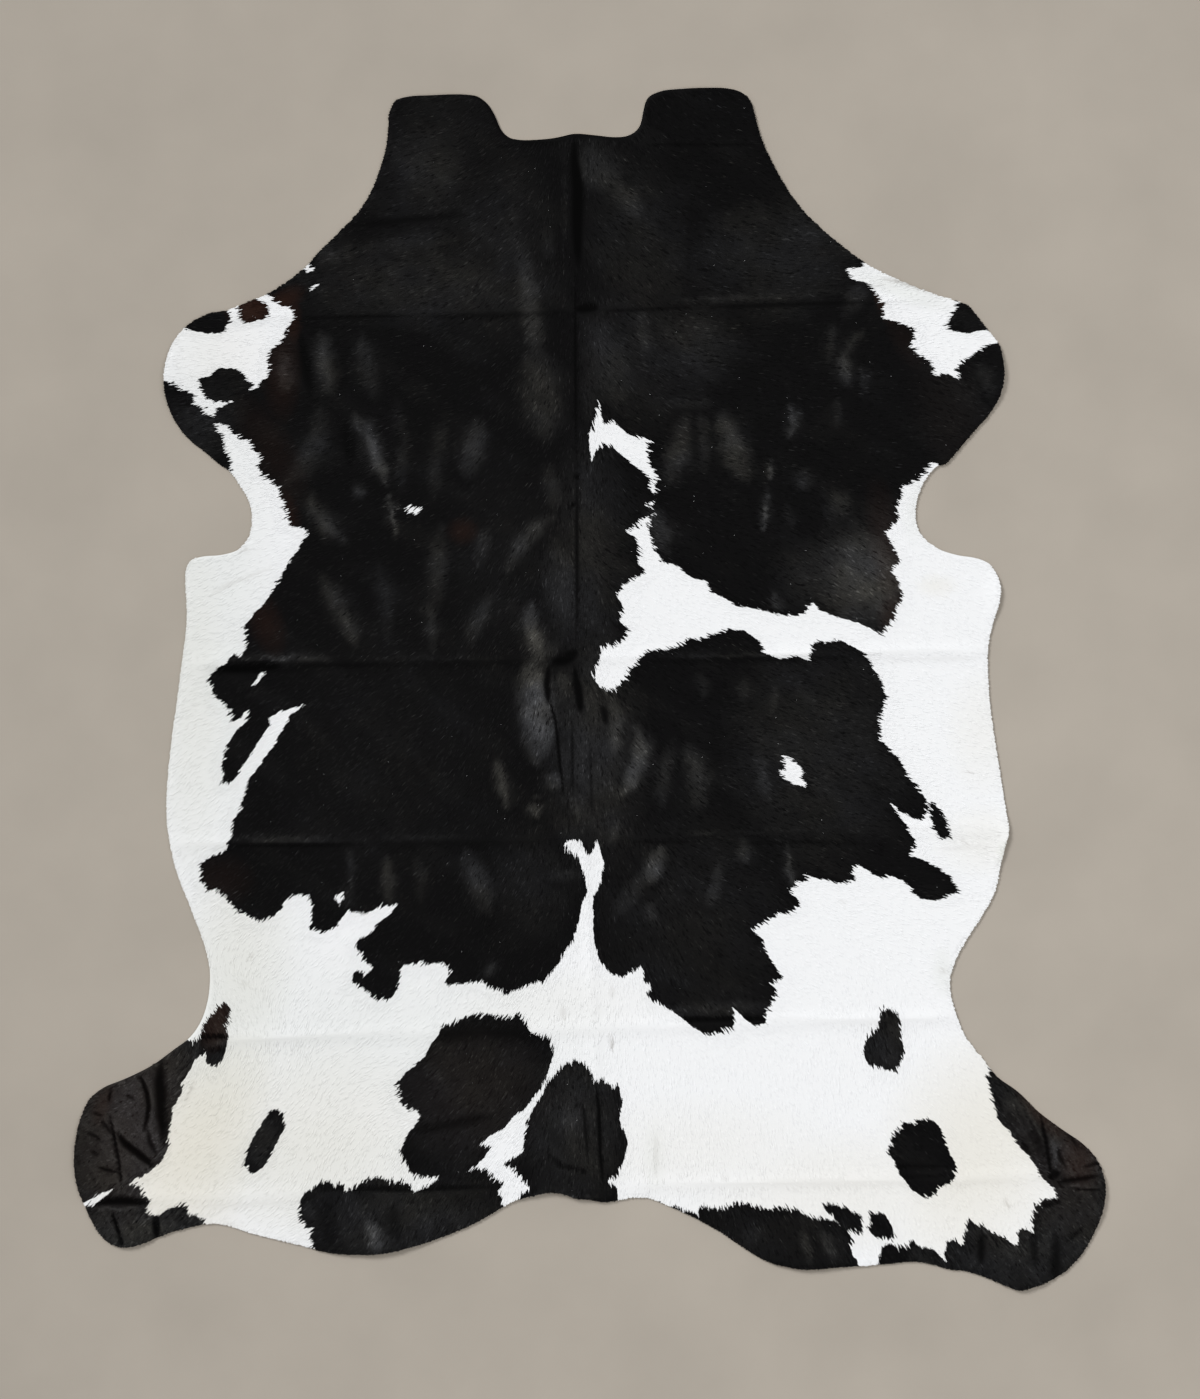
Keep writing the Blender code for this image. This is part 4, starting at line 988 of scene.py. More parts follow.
def cut_edge(step):
    """The hide's cut outline, anticlockwise, with evenly spaced points, read off the frame."""
    mesh = HIDE.data
    places = np.array([vertex.co[:] for vertex in mesh.vertices])
    merged, index = np.unique(np.round(places, 6), axis=0, return_inverse=True)
    index = index.ravel()
    sides = {}
    for polygon in mesh.polygons:
        corners = [index[i] for i in polygon.vertices]
        for a, b in zip(corners, corners[1:] + corners[:1]):
            sides[a, b] = polygon.normal.z
    following = {a: b for (a, b), up in sides.items()
                 if up > LOOKS_UP and abs(sides.get((b, a), 1.0)) < LOOKS_SIDEWAYS}
    start = min(following)
    loop = [start]
    while following[loop[-1]] != start:
        loop.append(following[loop[-1]])
    corners = merged[loop][:, :2]
    return evenly(rounded(corners), step)


def rounded(corners):
    """A loop with a point added on each side by the four-point rule, which softens corners."""
    before, after = np.roll(corners, 1, axis=0), np.roll(corners, -1, axis=0)
    beyond = np.roll(corners, -2, axis=0)
    middles = (9 * (corners + after) - before - beyond) / 16
    return np.stack((corners, middles), axis=1).reshape(-1, 2)


def evenly(loop, step):
    """A closed loop with its points at even spacing."""
    closed = np.vstack((loop, loop[:1]))
    travelled = np.concatenate(([0.0], np.cumsum(np.hypot(*np.diff(closed, axis=0).T))))
    count = round(travelled[-1] / step)
    stops = np.arange(count) * travelled[-1] / count
    return np.column_stack([np.interp(stops, travelled, closed[:, i]) for i in range(2)])


def drawn_in(loop, amount):
    """A loop moved inwards by an amount, or by an amount for each point."""
    along = np.roll(loop, -1, axis=0) - np.roll(loop, 1, axis=0)
    along /= np.hypot(*along.T)[:, None]
    return loop + np.reshape(amount, (-1, 1)) * np.column_stack((-along[:, 1], along[:, 0]))


def coat_loop(loop, trim):
    """The edge of the hair inside a cut edge, further in at the notch of the neck."""
    return drawn_in(loop, trim * (1.0 + NOTCH.strength * bump(loop, NOTCH)))


# ------------------------------
# Meshes
# ------------------------------

def triangulated(loop, field):
    """Points and triangles of the area in a loop, with the loop's points first."""
    count = len(loop)
    sides = [(i, (i + 1) % count) for i in range(count)]
    rows = np.vstack((loop, field))
    points, _, triangles, sources, _, _ = delaunay_2d_cdt(
        [tuple(row) for row in rows], sides, [], INSIDE_ONLY, SAME_POINT)
    found = np.array([point[:] for point in points])
    at = {source: i for i, group in enumerate(sources) for source in group}
    return found, np.array(triangles), [at[i] for i in range(count)]


def clear_of(loop, points, margin):
    """The points inside a loop that keep a margin from it."""
    points = points[within(points, loop)]
    return points[distance_to_loop(points, loop) > margin]


def skin(loop, field, height):
    """A skin's places and triangles, and which of its points lie along its edge."""
    points, triangles, ring = triangulated(loop, field)
    return np.column_stack((points, height(points))), triangles, ring


def closed_sheet(name, lower, upper):
    """A closed mesh of two skins and the wall between their edges. Returns it with the number of
    faces in the lower skin, which come first."""
    (below, lower_faces, lower_ring), (above, upper_faces, upper_ring) = lower, upper
    start, count = len(below), len(lower_ring)
    faces = [*lower_faces[:, ::-1].tolist(), *(upper_faces + start).tolist()]
    for i in range(count):
        j = (i + 1) % count
        faces.append((lower_ring[i], lower_ring[j], upper_ring[j] + start, upper_ring[i] + start))
    mesh = bpy.data.meshes.new(name)
    mesh.from_pydata(np.vstack((below, above)).tolist(), [], faces)
    mesh.shade_smooth()
    return mesh, len(lower_faces)


def shown(data, name):
    """A new object in the scene that shows a mesh, a light or a camera."""
    piece = bpy.data.objects.new(name, data)
    bpy.context.scene.collection.objects.link(piece)
    return piece


def store(mesh, name, values):
    mesh.attributes.new(name, "FLOAT", "POINT").data.foreach_set(
        "value", np.asarray(values, np.float32))


def store_vectors(mesh, name, values):
    mesh.attributes.new(name, "FLOAT_VECTOR", "POINT").data.foreach_set(
        "vector", np.asarray(values, np.float32).ravel())


def plan(mesh):
    places = np.empty(len(mesh.vertices) * 3, np.float32)
    mesh.vertices.foreach_get("co", places)
    return places.reshape(-1, 3).astype(float)[:, :2]


def map_onto(mesh, name, places):
    """A UV map that gives each vertex its own place."""
    corners = np.empty(len(mesh.loops), np.int32)
    mesh.loops.foreach_get("vertex_index", corners)
    layer = mesh.uv_layers.new(name=name)
    layer.uv.foreach_set("vector", np.asarray(places, np.float32)[corners].ravel())


def flat_map(xy):
    """Places on a square for the whole hide, seen from above."""
    side = CAD_BOX[1][1] - CAD_BOX[0][1] + MAP_MARGIN
    return xy / side + 0.5


# ------------------------------
# Materials
# ------------------------------

# The fields over the hide that the coat and the hair carry for their colour, painted sheen and
# painted shade among them.
COAT_VALUES = ("brown", "cream", "shady", "gloss", "crease", "deep", "warm")

# Painted shade that greys white hair in broad areas, and the grey of marks with the painted shade
# of creases; then the tints of the painted sheen on black hair.
SHADY_TINT, CREASE_TINT = (0.84, 0.855, 0.81, 1), (0.66, 0.64, 0.62, 1)
COLD_LIGHT, WARM_LIGHT = (0.73, 0.75, 0.80, 1), (0.77, 0.75, 0.67, 1)
BROWN_LIGHT = (0.80, 0.68, 0.56, 1)

# Brightness of white and of black hair and the painted sheen that glossy hair gets, from the
# darkest hairs to the lightest. What a deep fold's painted shade leaves of black hair's brightness.
# Its roughness, from dull to glossy.
WHITE_HAIRS, BLACK_HAIRS, GLOSSY_HAIRS = (0.97, 1.02), (0.75, 1.3), (0.035, 0.085)
IN_FOLDS, BLACK_ROUGHNESS = (1.0, 0.2), (0.52, 0.40)
WHITE_ROUGHNESS, HAIR_SPECULAR = 0.68, 0.03

# The range that noise mostly fills, and strength of the bump on hair.
NOISE = (0.3, 0.7)
HAIR_BUMP = 0.3

# How far noise shifts the undercoat's colour edges, and half the width of their blend, in metres.
EDGE_NOISE, EDGE_BLEND = 0.008, 0.0006

# Suede: how much noise clouds its colour, and how much its nap does.
SUEDE_CLOUDS, NAP_SHARE = (0.0, 0.8), 0.35
FLESH_ROUGHNESS, CUT_ROUGHNESS = 0.9, 0.8


def add(tree, kind, inputs=None, **settings):
    """A node with its settings made and its inputs set to values or joined to sockets."""
    made = tree.nodes.new(kind)
    for name, value in settings.items():
        setattr(made, name, value)
    for socket, value in (inputs or {}).items():
        if isinstance(value, bpy.types.NodeSocket):
            tree.links.new(value, made.inputs[socket])
        else:
            made.inputs[socket].default_value = value
    return made


def maths(tree, operation, a, b=0.0, c=0.0):
    return add(tree, "ShaderNodeMath", {0: a, 1: b, 2: c}, operation=operation).outputs[0]


def blend(tree, share, first, second, mode="MIX"):
    """A mix of two colours."""
    return add(tree, "ShaderNodeMix", {"Factor": share, 6: first, 7: second}, data_type="RGBA",
               blend_type=mode).outputs[2]


def spread_to(tree, value, new, old=(0, 1)):
    """A value mapped from an old range to a new one."""
    return add(tree, "ShaderNodeMapRange", {
        "Value": value, "From Min": old[0], "From Max": old[1], "To Min": new[0], "To Max": new[1],
    }).outputs["Result"]


def vector_maths(tree, operation, a, b=(0.0, 0.0, 0.0)):
    return add(tree, "ShaderNodeVectorMath", {0: a, 1: b}, operation=operation).outputs[0]


def scaled(tree, colour, size):
    return add(tree, "ShaderNodeVectorMath", {0: colour, "Scale": size},
               operation="SCALE").outputs[0]


def new_group(name, inputs, outputs):
    tree = bpy.data.node_groups.new(name, "ShaderNodeTree")
    for label, kind, value in inputs:
        socket = tree.interface.new_socket(label, in_out="INPUT", socket_type=kind)
        if value is not None:
            socket.default_value = value
    for label, kind in outputs:
        tree.interface.new_socket(label, in_out="OUTPUT", socket_type=kind)
    return tree, tree.nodes.new("NodeGroupInput").outputs, tree.nodes.new("NodeGroupOutput").inputs


FLOAT, COLOUR, VECTOR = "NodeSocketFloat", "NodeSocketColor", "NodeSocketVector"


def streak_group():
    """Unevenness that is drawn out along one axis of its coordinates."""
    tree, given, result = new_group(
        "Streaks",
        (("Vector", VECTOR, None), ("Across", FLOAT, 300.0), ("Along", FLOAT, 40.0),
         ("Detail", FLOAT, 3.0)),
        (("Value", FLOAT),))
    sizes = add(tree, "ShaderNodeCombineXYZ", {"X": given["Across"], "Y": given["Along"]})
    placed = vector_maths(tree, "MULTIPLY", given["Vector"], sizes.outputs[0])
    noise = add(tree, "ShaderNodeTexNoise", {
        "Vector": placed, "Scale": 1.0, "Detail": given["Detail"], "Roughness": 0.6})
    tree.links.new(noise.outputs["Fac"], result["Value"])
    return tree


def coat_group(colours):
    """The hair's colour and roughness from what the coat is like at a place, with its painted sheen and
    painted shade.
    """
    tree, given, result = new_group(
        "Coat Colour",
        (("Dark", FLOAT, 0.0), *((value.title(), FLOAT, 0.0) for value in COAT_VALUES),
         ("Shade", FLOAT, 0.5)),
        (("Colour", COLOUR), ("Roughness", FLOAT)))
    brown, shade_of_hair = given["Brown"], given["Shade"]

    pale = blend(tree, given["Cream"], (*colours.white, 1), (*colours.cream, 1))
    # Painted shade greys the white hair in broad areas, and along creases together with the grey marks.
    pale = blend(tree, given["Shady"], pale, SHADY_TINT, "MULTIPLY")
    pale = blend(tree, given["Crease"], pale, CREASE_TINT, "MULTIPLY")
    pale = scaled(tree, pale, spread_to(tree, shade_of_hair, WHITE_HAIRS))

    # Painted sheen: the black hair's colour is drawn towards a light tint where the hair would catch
    # the light.
    bright = blend(tree, given["Warm"], COLD_LIGHT, WARM_LIGHT)
    bright = blend(tree, brown, bright, BROWN_LIGHT)
    lit = maths(tree, "MULTIPLY", given["Gloss"], spread_to(tree, shade_of_hair, GLOSSY_HAIRS))
    black = blend(tree, brown, (*colours.black, 1), (*colours.brown, 1))
    black = blend(tree, lit, black, bright)
    # The painted shade of the folds, with the hairs' random brightness, darkens the black hair.
    dimmed = maths(tree, "MULTIPLY", spread_to(tree, given["Deep"], IN_FOLDS),
                   spread_to(tree, shade_of_hair, BLACK_HAIRS))
    black = scaled(tree, black, dimmed)
    tree.links.new(blend(tree, given["Dark"], pale, black), result["Colour"])

    black_rough = spread_to(tree, given["Gloss"], BLACK_ROUGHNESS)
    rough = maths(tree, "MULTIPLY_ADD", given["Dark"],
                  maths(tree, "SUBTRACT", black_rough, WHITE_ROUGHNESS), WHITE_ROUGHNESS)
    tree.links.new(rough, result["Roughness"])
    return tree


def new_material(name):
    material = bpy.data.materials.new(name)
    material.use_nodes = True
    tree = material.node_tree
    return material, tree, tree.nodes["Principled BSDF"]


def attribute(tree, name):
    return add(tree, "ShaderNodeAttribute", attribute_name=name).outputs["Fac"]


def streak(tree, streaks, across, along, detail):
    """Noise with this many streaks to the metre across and along the hide."""
    at = add(tree, "ShaderNodeTexCoord").outputs["Object"]
    return add(tree, "ShaderNodeGroup", {
        "Vector": at, "Across": across, "Along": along, "Detail": detail,
    }, node_tree=streaks).outputs[0]


def roughen(tree, shader, height, strength, distance):
    """Gives a shader a bump of this height."""
    normal = add(tree, "ShaderNodeBump", {
        "Strength": strength, "Distance": distance, "Height": height}).outputs[0]
    tree.links.new(normal, shader.inputs["Normal"])


def hair_finish(tree, shader, coat, dark, shade_of_hair):
    """Gives a shader the coat's colour and roughness, from the values that its piece carries."""
    values = {value.title(): attribute(tree, value) for value in COAT_VALUES}
    values |= {"Dark": dark, "Shade": shade_of_hair}
    colour = add(tree, "ShaderNodeGroup", values, node_tree=coat).outputs
    tree.links.new(colour["Colour"], shader.inputs["Base Color"])
    tree.links.new(colour["Roughness"], shader.inputs["Roughness"])
    shader.inputs["Specular IOR Level"].default_value = HAIR_SPECULAR


def undercoat_material(streaks, coat):
    """Short hair packed flat, streaked along its lay, with ragged edges between its colours."""
    material, tree, shader = new_material("short hair")
    noise = streak(tree, streaks, across=420.0, along=300.0, detail=3.0)
    ragged = maths(tree, "SUBTRACT", noise, 0.5)
    depth = maths(tree, "MULTIPLY_ADD", ragged, EDGE_NOISE, attribute(tree, "depth"))
    dark = spread_to(tree, depth, (0, 1), (-EDGE_BLEND, EDGE_BLEND))
    fine = streak(tree, streaks, across=700.0, along=350.0, detail=4.0)
    hair_finish(tree, shader, coat, dark, spread_to(tree, fine, (0, 1), NOISE))
    roughen(tree, shader, fine, HAIR_BUMP, distance=0.0004)
    return material


def lock_material(streaks, coat):
    """Locks of hair, each of one colour, a little uneven along its length."""
    material, tree, shader = new_material("locks of hair")
    hair_finish(tree, shader, coat, attribute(tree, "dark"), attribute(tree, "shade"))
    fine = streak(tree, streaks, across=700.0, along=700.0, detail=1.0)
    roughen(tree, shader, fine, HAIR_BUMP, distance=0.0003)
    return material


def leather_material(streaks, name, colour, dark_colour, roughness):
    """Suede leather: mottled, with a nap."""
    material, tree, shader = new_material(name)
    cloudy = spread_to(tree, streak(tree, streaks, across=9.0, along=6.0, detail=5.0),
                       SUEDE_CLOUDS, NOISE)
    nap = streak(tree, streaks, across=900.0, along=700.0, detail=2.0)
    share = maths(tree, "MULTIPLY_ADD", nap, NAP_SHARE, cloudy)
    tree.links.new(blend(tree, share, (*colour, 1), (*dark_colour, 1)),
                   shader.inputs["Base Color"])
    roughen(tree, shader, nap, strength=0.5, distance=0.0005)
    shader.inputs["Roughness"].default_value = roughness
    return material


def group_named(name, make, *values):
    return bpy.data.node_groups.get(name) or make(*values)


# ------------------------------
# Settings
# ------------------------------

class LeatherSettings(bpy.types.PropertyGroup):
    thickness: FloatProperty(name="Leather Thickness", description="Thickness of the tanned skin",
                             default=0.0024, unit="LENGTH")
    edge_step: FloatProperty(name="Edge Spacing", description="Distance of points along the cut",
                             default=0.006, unit="LENGTH")
    field_step: FloatProperty(name="Field Spacing", description="Distance of points on the skin",
                              default=0.0125, unit="LENGTH")
    colour: FloatVectorProperty(name="Flesh Side", description="Pale colour of the suede side",
                                default=(0.56, 0.49, 0.40), subtype="COLOR")
    dark_colour: FloatVectorProperty(name="Flesh Side Clouds", subtype="COLOR",
                                     description="Darker colour that clouds the suede side",
                                     default=(0.40, 0.335, 0.26))
    edge_colour: FloatVectorProperty(name="Cut Edge", description="Colour of the cut edge",
                                     default=(0.62, 0.60, 0.56), subtype="COLOR")


class CoatSettings(bpy.types.PropertyGroup):
    flat_hair: FloatProperty(name="Flat Hair", description="Thickness of the hair pressed flat",
                             default=0.0016, unit="LENGTH")
    trim: FloatProperty(name="Trim", description="How far the hair stands back from the cut",
                        default=0.0012, unit="LENGTH")
    step: FloatProperty(name="Spacing", description="Distance of points in even hair",
                        default=0.0085, unit="LENGTH")
    edge_step: FloatProperty(name="Fine Spacing", unit="LENGTH",
                             description="Distance of points near the colours' edges",
                             default=0.0042)
    edge_reach: FloatProperty(name="Fine Reach", unit="LENGTH",
                              description="How far the fine points reach from a colour's edge",
                              default=0.009)
    black: FloatVectorProperty(name="Black Hair", description="Colour of the black hair",
                               default=(0.0028, 0.0027, 0.0029), subtype="COLOR")
    brown: FloatVectorProperty(name="Brown Hair", description="Colour of the browned black hair",
                               default=(0.0185, 0.0078, 0.0050), subtype="COLOR")
    white: FloatVectorProperty(name="White Hair", description="Colour of the white hair",
                               default=(0.83, 0.842, 0.86), subtype="COLOR")
    cream: FloatVectorProperty(name="Cream Hair", description="Colour of the yellowed white hair",
                               default=(0.74, 0.72, 0.655), subtype="COLOR")


class HairSettings(bpy.types.PropertyGroup):
    length: FloatProperty(name="Length", description="Length of a lock", default=0.016,
                          unit="LENGTH")
    width: FloatProperty(name="Width", description="Width of a lock at its widest", default=0.0034,
                         unit="LENGTH")
    shoulder: FloatProperty(name="Shoulder", subtype="FACTOR", min=0, max=1, default=0.58,
                            description="Share of the length at which a lock is widest")
    height: FloatProperty(name="Height", description="Height of a lock at its widest",
                          default=0.0005, unit="LENGTH")
    rise: FloatProperty(name="Rise", description="How far a lock's tip stands over the coat",
                        default=0.0007, unit="LENGTH")
    spacing: FloatProperty(name="Spacing", description="Distance of roots near the colours' edges",
                           default=0.0032, unit="LENGTH")
    share: FloatProperty(name="Share", description="Share of the roots kept in even hair",
                         default=0.235, subtype="FACTOR", min=0, max=1)
    fringe: FloatProperty(name="Fringe", description="How far hair may stand out over the cut",
                          default=0.0022, unit="LENGTH")
    # A share of the dark locks gets a painted glint of extra light.
    bright: FloatProperty(name="Bright Hairs", subtype="FACTOR", min=0, max=1, default=0.045,
                          description="Share of the dark locks that catch more light")
    lint: FloatProperty(name="Lint", description="Share of the dark locks with a speck of dust",
                        default=0.004, subtype="FACTOR", min=0, max=1)
    seed: IntProperty(name="Seed", description="Seed of the hair's unevenness", default=7)


class StageSettings(bpy.types.PropertyGroup):
    floor: FloatVectorProperty(name="Floor", description="Colour of the floor",
                               default=(0.388, 0.350, 0.302), subtype="COLOR")
    key: FloatProperty(name="Key Light", description="Strength of the light from the neck's left",
                       default=2.0)
    key_softness: FloatProperty(name="Key Softness", description="Width of the key light's beam",
                                default=math.radians(20), subtype="ANGLE")
    fill: FloatProperty(name="Fill Light", description="Power of the light from above",
                        default=60.0, unit="POWER")
    sky: FloatProperty(name="Surround", description="Brightness of the surround", default=0.45)
    lens: FloatProperty(name="Lens", description="Focal length of the camera in millimetres",
                        default=85.0)


# ------------------------------
# Pieces
# ------------------------------

# How far a sheet's inner points keep from its edge, as shares of their spacing: on the leather,
# and on the coat where it is even and where it is fine.
SKIN_CLEARANCE, EVEN_CLEARANCE, FINE_CLEARANCE = 0.6, 0.4, 0.5

# The coat's underside: its trim and spacing as shares of the coat's, and its height as a share of
# the leather's thickness.
UNDER_TRIM, UNDER_SPACING, UNDER_HEIGHT = 0.25, 2.4, 0.9

# The least mark that the coat has fine points for, and the most depth that it carries, in metres.
LEAST_MARK, MOST_DEPTH = 0.01, 0.03


def leather_top(xy):
    return lift(xy) + bpy.context.scene.cowhide_leather.thickness


def coat_top(xy):
    return leather_top(xy) + bpy.context.scene.cowhide_coat.flat_hair + wrinkles(xy)


class COWHIDE_OT_leather(bpy.types.Operator):
    """Builds the tanned skin: suede below, with its plain cut edge"""
    bl_idname = "cowhide.leather"
    bl_label = "Leather"

    def execute(self, context):
        sizes = context.scene.cowhide_leather
        loop = cut_edge(sizes.edge_step)
        field = clear_of(loop, lattice(sizes.field_step), sizes.edge_step * SKIN_CLEARANCE)
        mesh, underside = closed_sheet(
            "hide_leather", skin(loop, field, lift), skin(loop, field, leather_top))
        streaks = group_named("Streaks", streak_group)
        for name, colour, roughness in (
                ("suede flesh side", sizes.colour, FLESH_ROUGHNESS),
                ("cut leather edge", sizes.edge_colour, CUT_ROUGHNESS)):
            mesh.materials.append(
                leather_material(streaks, name, colour, sizes.dark_colour, roughness))
        not_under = np.arange(len(mesh.polygons)) >= underside
        mesh.polygons.foreach_set("material_index", not_under.astype(np.int32))
        piece = shown(mesh, "hide_leather")
        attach(piece, "root")
        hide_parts("hide")
        return {"FINISHED"}


def needs_detail(xy, reach):
    """Whether each point is near a colour's edge, a mark, a crease or a fold."""
    marked = np.maximum(crease_line(xy), shade(xy)) > LEAST_MARK
    return (np.abs(dark_depth(xy)) <= reach) | marked


class COWHIDE_OT_coat(bpy.types.Operator):
    """Builds the short hair that lies flat on the leather, with its black and white patches"""
    bl_idname = "cowhide.coat"
    bl_label = "Short Coat"

    def execute(self, context):
        sizes = context.scene.cowhide_coat
        leather = context.scene.cowhide_leather
        edge = cut_edge(leather.edge_step)
        lower = drawn_in(edge, sizes.trim * UNDER_TRIM)
        upper = coat_loop(edge, sizes.trim)
        even = clear_of(upper, lattice(sizes.step), sizes.step * EVEN_CLEARANCE)
        fine = clear_of(upper, lattice(sizes.edge_step), sizes.edge_step * FINE_CLEARANCE)
        field = np.vstack((even[~needs_detail(even, sizes.edge_reach)],
                           fine[needs_detail(fine, sizes.edge_reach)]))
        under = clear_of(lower, lattice(sizes.step * UNDER_SPACING), sizes.step)
        sunk = leather.thickness * UNDER_HEIGHT
        mesh, _ = closed_sheet("hide_coat", skin(lower, under, lambda xy: lift(xy) + sunk),
                               skin(upper, field, coat_top))
        xy = plan(mesh)
        store(mesh, "depth", np.clip(dark_depth(xy), -MOST_DEPTH, MOST_DEPTH))
        for name, values in coat_fields(xy, xy).items():
            store(mesh, name, values)
        map_onto(mesh, "OFBake", flat_map(xy))
        streaks = group_named("Streaks", streak_group)
        coat = group_named("Coat Colour", coat_group, sizes)
        mesh.materials.append(undercoat_material(streaks, coat))
        piece = shown(mesh, "hide_coat")
        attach(piece, "root")
        return {"FINISHED"}


def hair_tree():
    """Stands a tapering lock on each root, turned and sized by the root's attributes."""
    tree = bpy.data.node_groups.new("Locks on Roots", "GeometryNodeTree")
    for label, kind in (("Roots", "Geometry"), ("Sides", "Int"), ("Shoulder", "Float"),
                        ("Length", "Float"), ("Width", "Float"), ("Height", "Float"),
                        ("Material", "Material")):
        tree.interface.new_socket(label, in_out="INPUT", socket_type=f"NodeSocket{kind}")
    tree.interface.new_socket("Hair", in_out="OUTPUT", socket_type="NodeSocketGeometry")
    given = tree.nodes.new("NodeGroupInput").outputs
    result = tree.nodes.new("NodeGroupOutput").inputs

    def vector_named(name):
        return add(tree, "GeometryNodeInputNamedAttribute", {"Name": name},
                   data_type="FLOAT_VECTOR").outputs["Attribute"]

    # a ball with one ring is drawn out into a spindle from 0 to 1, and its ring slid to the
    # shoulder
    ball = add(tree, "GeometryNodeMeshUVSphere", {
        "Segments": given["Sides"], "Rings": 2, "Radius": 1.0}).outputs["Mesh"]
    at = add(tree, "GeometryNodeInputPosition").outputs[0]
    flat = vector_maths(tree, "MULTIPLY", at, (1.0, 1.0, 0.0))
    around = add(tree, "ShaderNodeVectorMath", {0: flat}, operation="LENGTH").outputs["Value"]
    upwards = add(tree, "ShaderNodeSeparateXYZ", {0: at}).outputs["Z"]
    stretched = maths(tree, "MULTIPLY_ADD", upwards, 0.5, 0.5)
    slid = maths(tree, "MULTIPLY_ADD", around, maths(tree, "SUBTRACT", given["Shoulder"], 0.5),
                 stretched)
    lifted = add(tree, "ShaderNodeCombineXYZ", {"Z": slid}).outputs[0]
    shaped = vector_maths(tree, "ADD", flat, lifted)
    lock = add(tree, "GeometryNodeSetPosition", {"Geometry": ball, "Position": shaped}).outputs[0]

    turned = add(tree, "FunctionNodeAxesToRotation", {
        "Primary Axis": vector_named("direction"), "Secondary Axis": vector_named("upright"),
    }, primary_axis="Z", secondary_axis="X").outputs[0]
    sizes = add(tree, "ShaderNodeCombineXYZ", {
        "X": given["Height"], "Y": given["Width"], "Z": given["Length"]}).outputs[0]
    placed = add(tree, "GeometryNodeInstanceOnPoints", {
        "Points": given["Roots"], "Instance": lock, "Rotation": turned,
        "Scale": vector_maths(tree, "MULTIPLY", sizes, vector_named("size"))}).outputs[0]
    real = add(tree, "GeometryNodeRealizeInstances", {"Geometry": placed}).outputs[0]
    facets = add(tree, "GeometryNodeSetShadeSmooth", {
        "Geometry": real, "Shade Smooth": False}).outputs[0]
    coloured = add(tree, "GeometryNodeSetMaterial", {
        "Geometry": facets, "Material": given["Material"]}).outputs[0]
    tree.links.new(coloured, result["Hair"])
    return tree


# The hair is dense within the reach of a colour's edge, a share of a lock's length, and within a
# share of that reach of the cut. Beyond BARE of the reach, folds whose painted shade is deeper than
# BARE have no locks.
REACH, CUT_REACH, BARE = 0.75, 0.6, 0.5
JITTER = 0.45

# Sizes of the locks as shares of their settings, near a colour's edge and in even hair, and how
# much shorter they are where the hide is crumpled.
EDGE_LENGTHS, EVEN_LENGTHS = (0.6, 1.25), (0.6, 1.15)
EDGE_WIDTHS, EVEN_WIDTHS = (0.4, 0.95), (0.5, 1.15)
FRINGE_SHARES, RISE_SHARES = (0.2, 1.0), (0.3, 1.5)
CRUMPLE_SHORTER = 0.45
LOCK_TURN = 0.10

# How often a lock over the cut is shortened by what stands out, and its least length in metres.
SHORTENINGS, SHORTEST = 4, 0.003

# The share of a lock's length at which its place decides its colour.
COLOUR_SHARE = 0.7

# Strands that share one painted sheen: width and length in metres, and seed.
STRAND_WIDTH, STRAND_LENGTH, STRAND_SEED = 0.0024, 0.012, 43

# How strands change the painted sheen: as a share of it and by themselves, and the most painted
# sheen there is.
STRAND_LIGHT, STRAND_GLOSS, MOST_LIGHT = 0.30, 0.016, 1.6

# Hairs with a painted glint: how many more there are where the painted sheen is strong, and the
# painted light that they add. Then sizes of these hairs and of lint, as shares of a lock's.
MORE_BRIGHT, BRIGHT_LIGHT = 4, (0.08, 0.34)
BRIGHT_WIDTH, LINT_WIDTH, LINT_LENGTH = 0.4, 0.17, 0.13

# The distance over which the coat's slope is taken, and how deep a root sits in it, in metres.
PROBE, ROOT_DEPTH = 0.003, 0.0002

# A lock is made from a ball of this many sides and radius 1, which is this wide and this high.
LOCK_SIDES, BALL_WIDTH, BALL_HEIGHT = 3, math.sqrt(3), 1.5

# The share of a lock's size that its place on the map fills.
LOCK_MAP_SHARE = 0.15


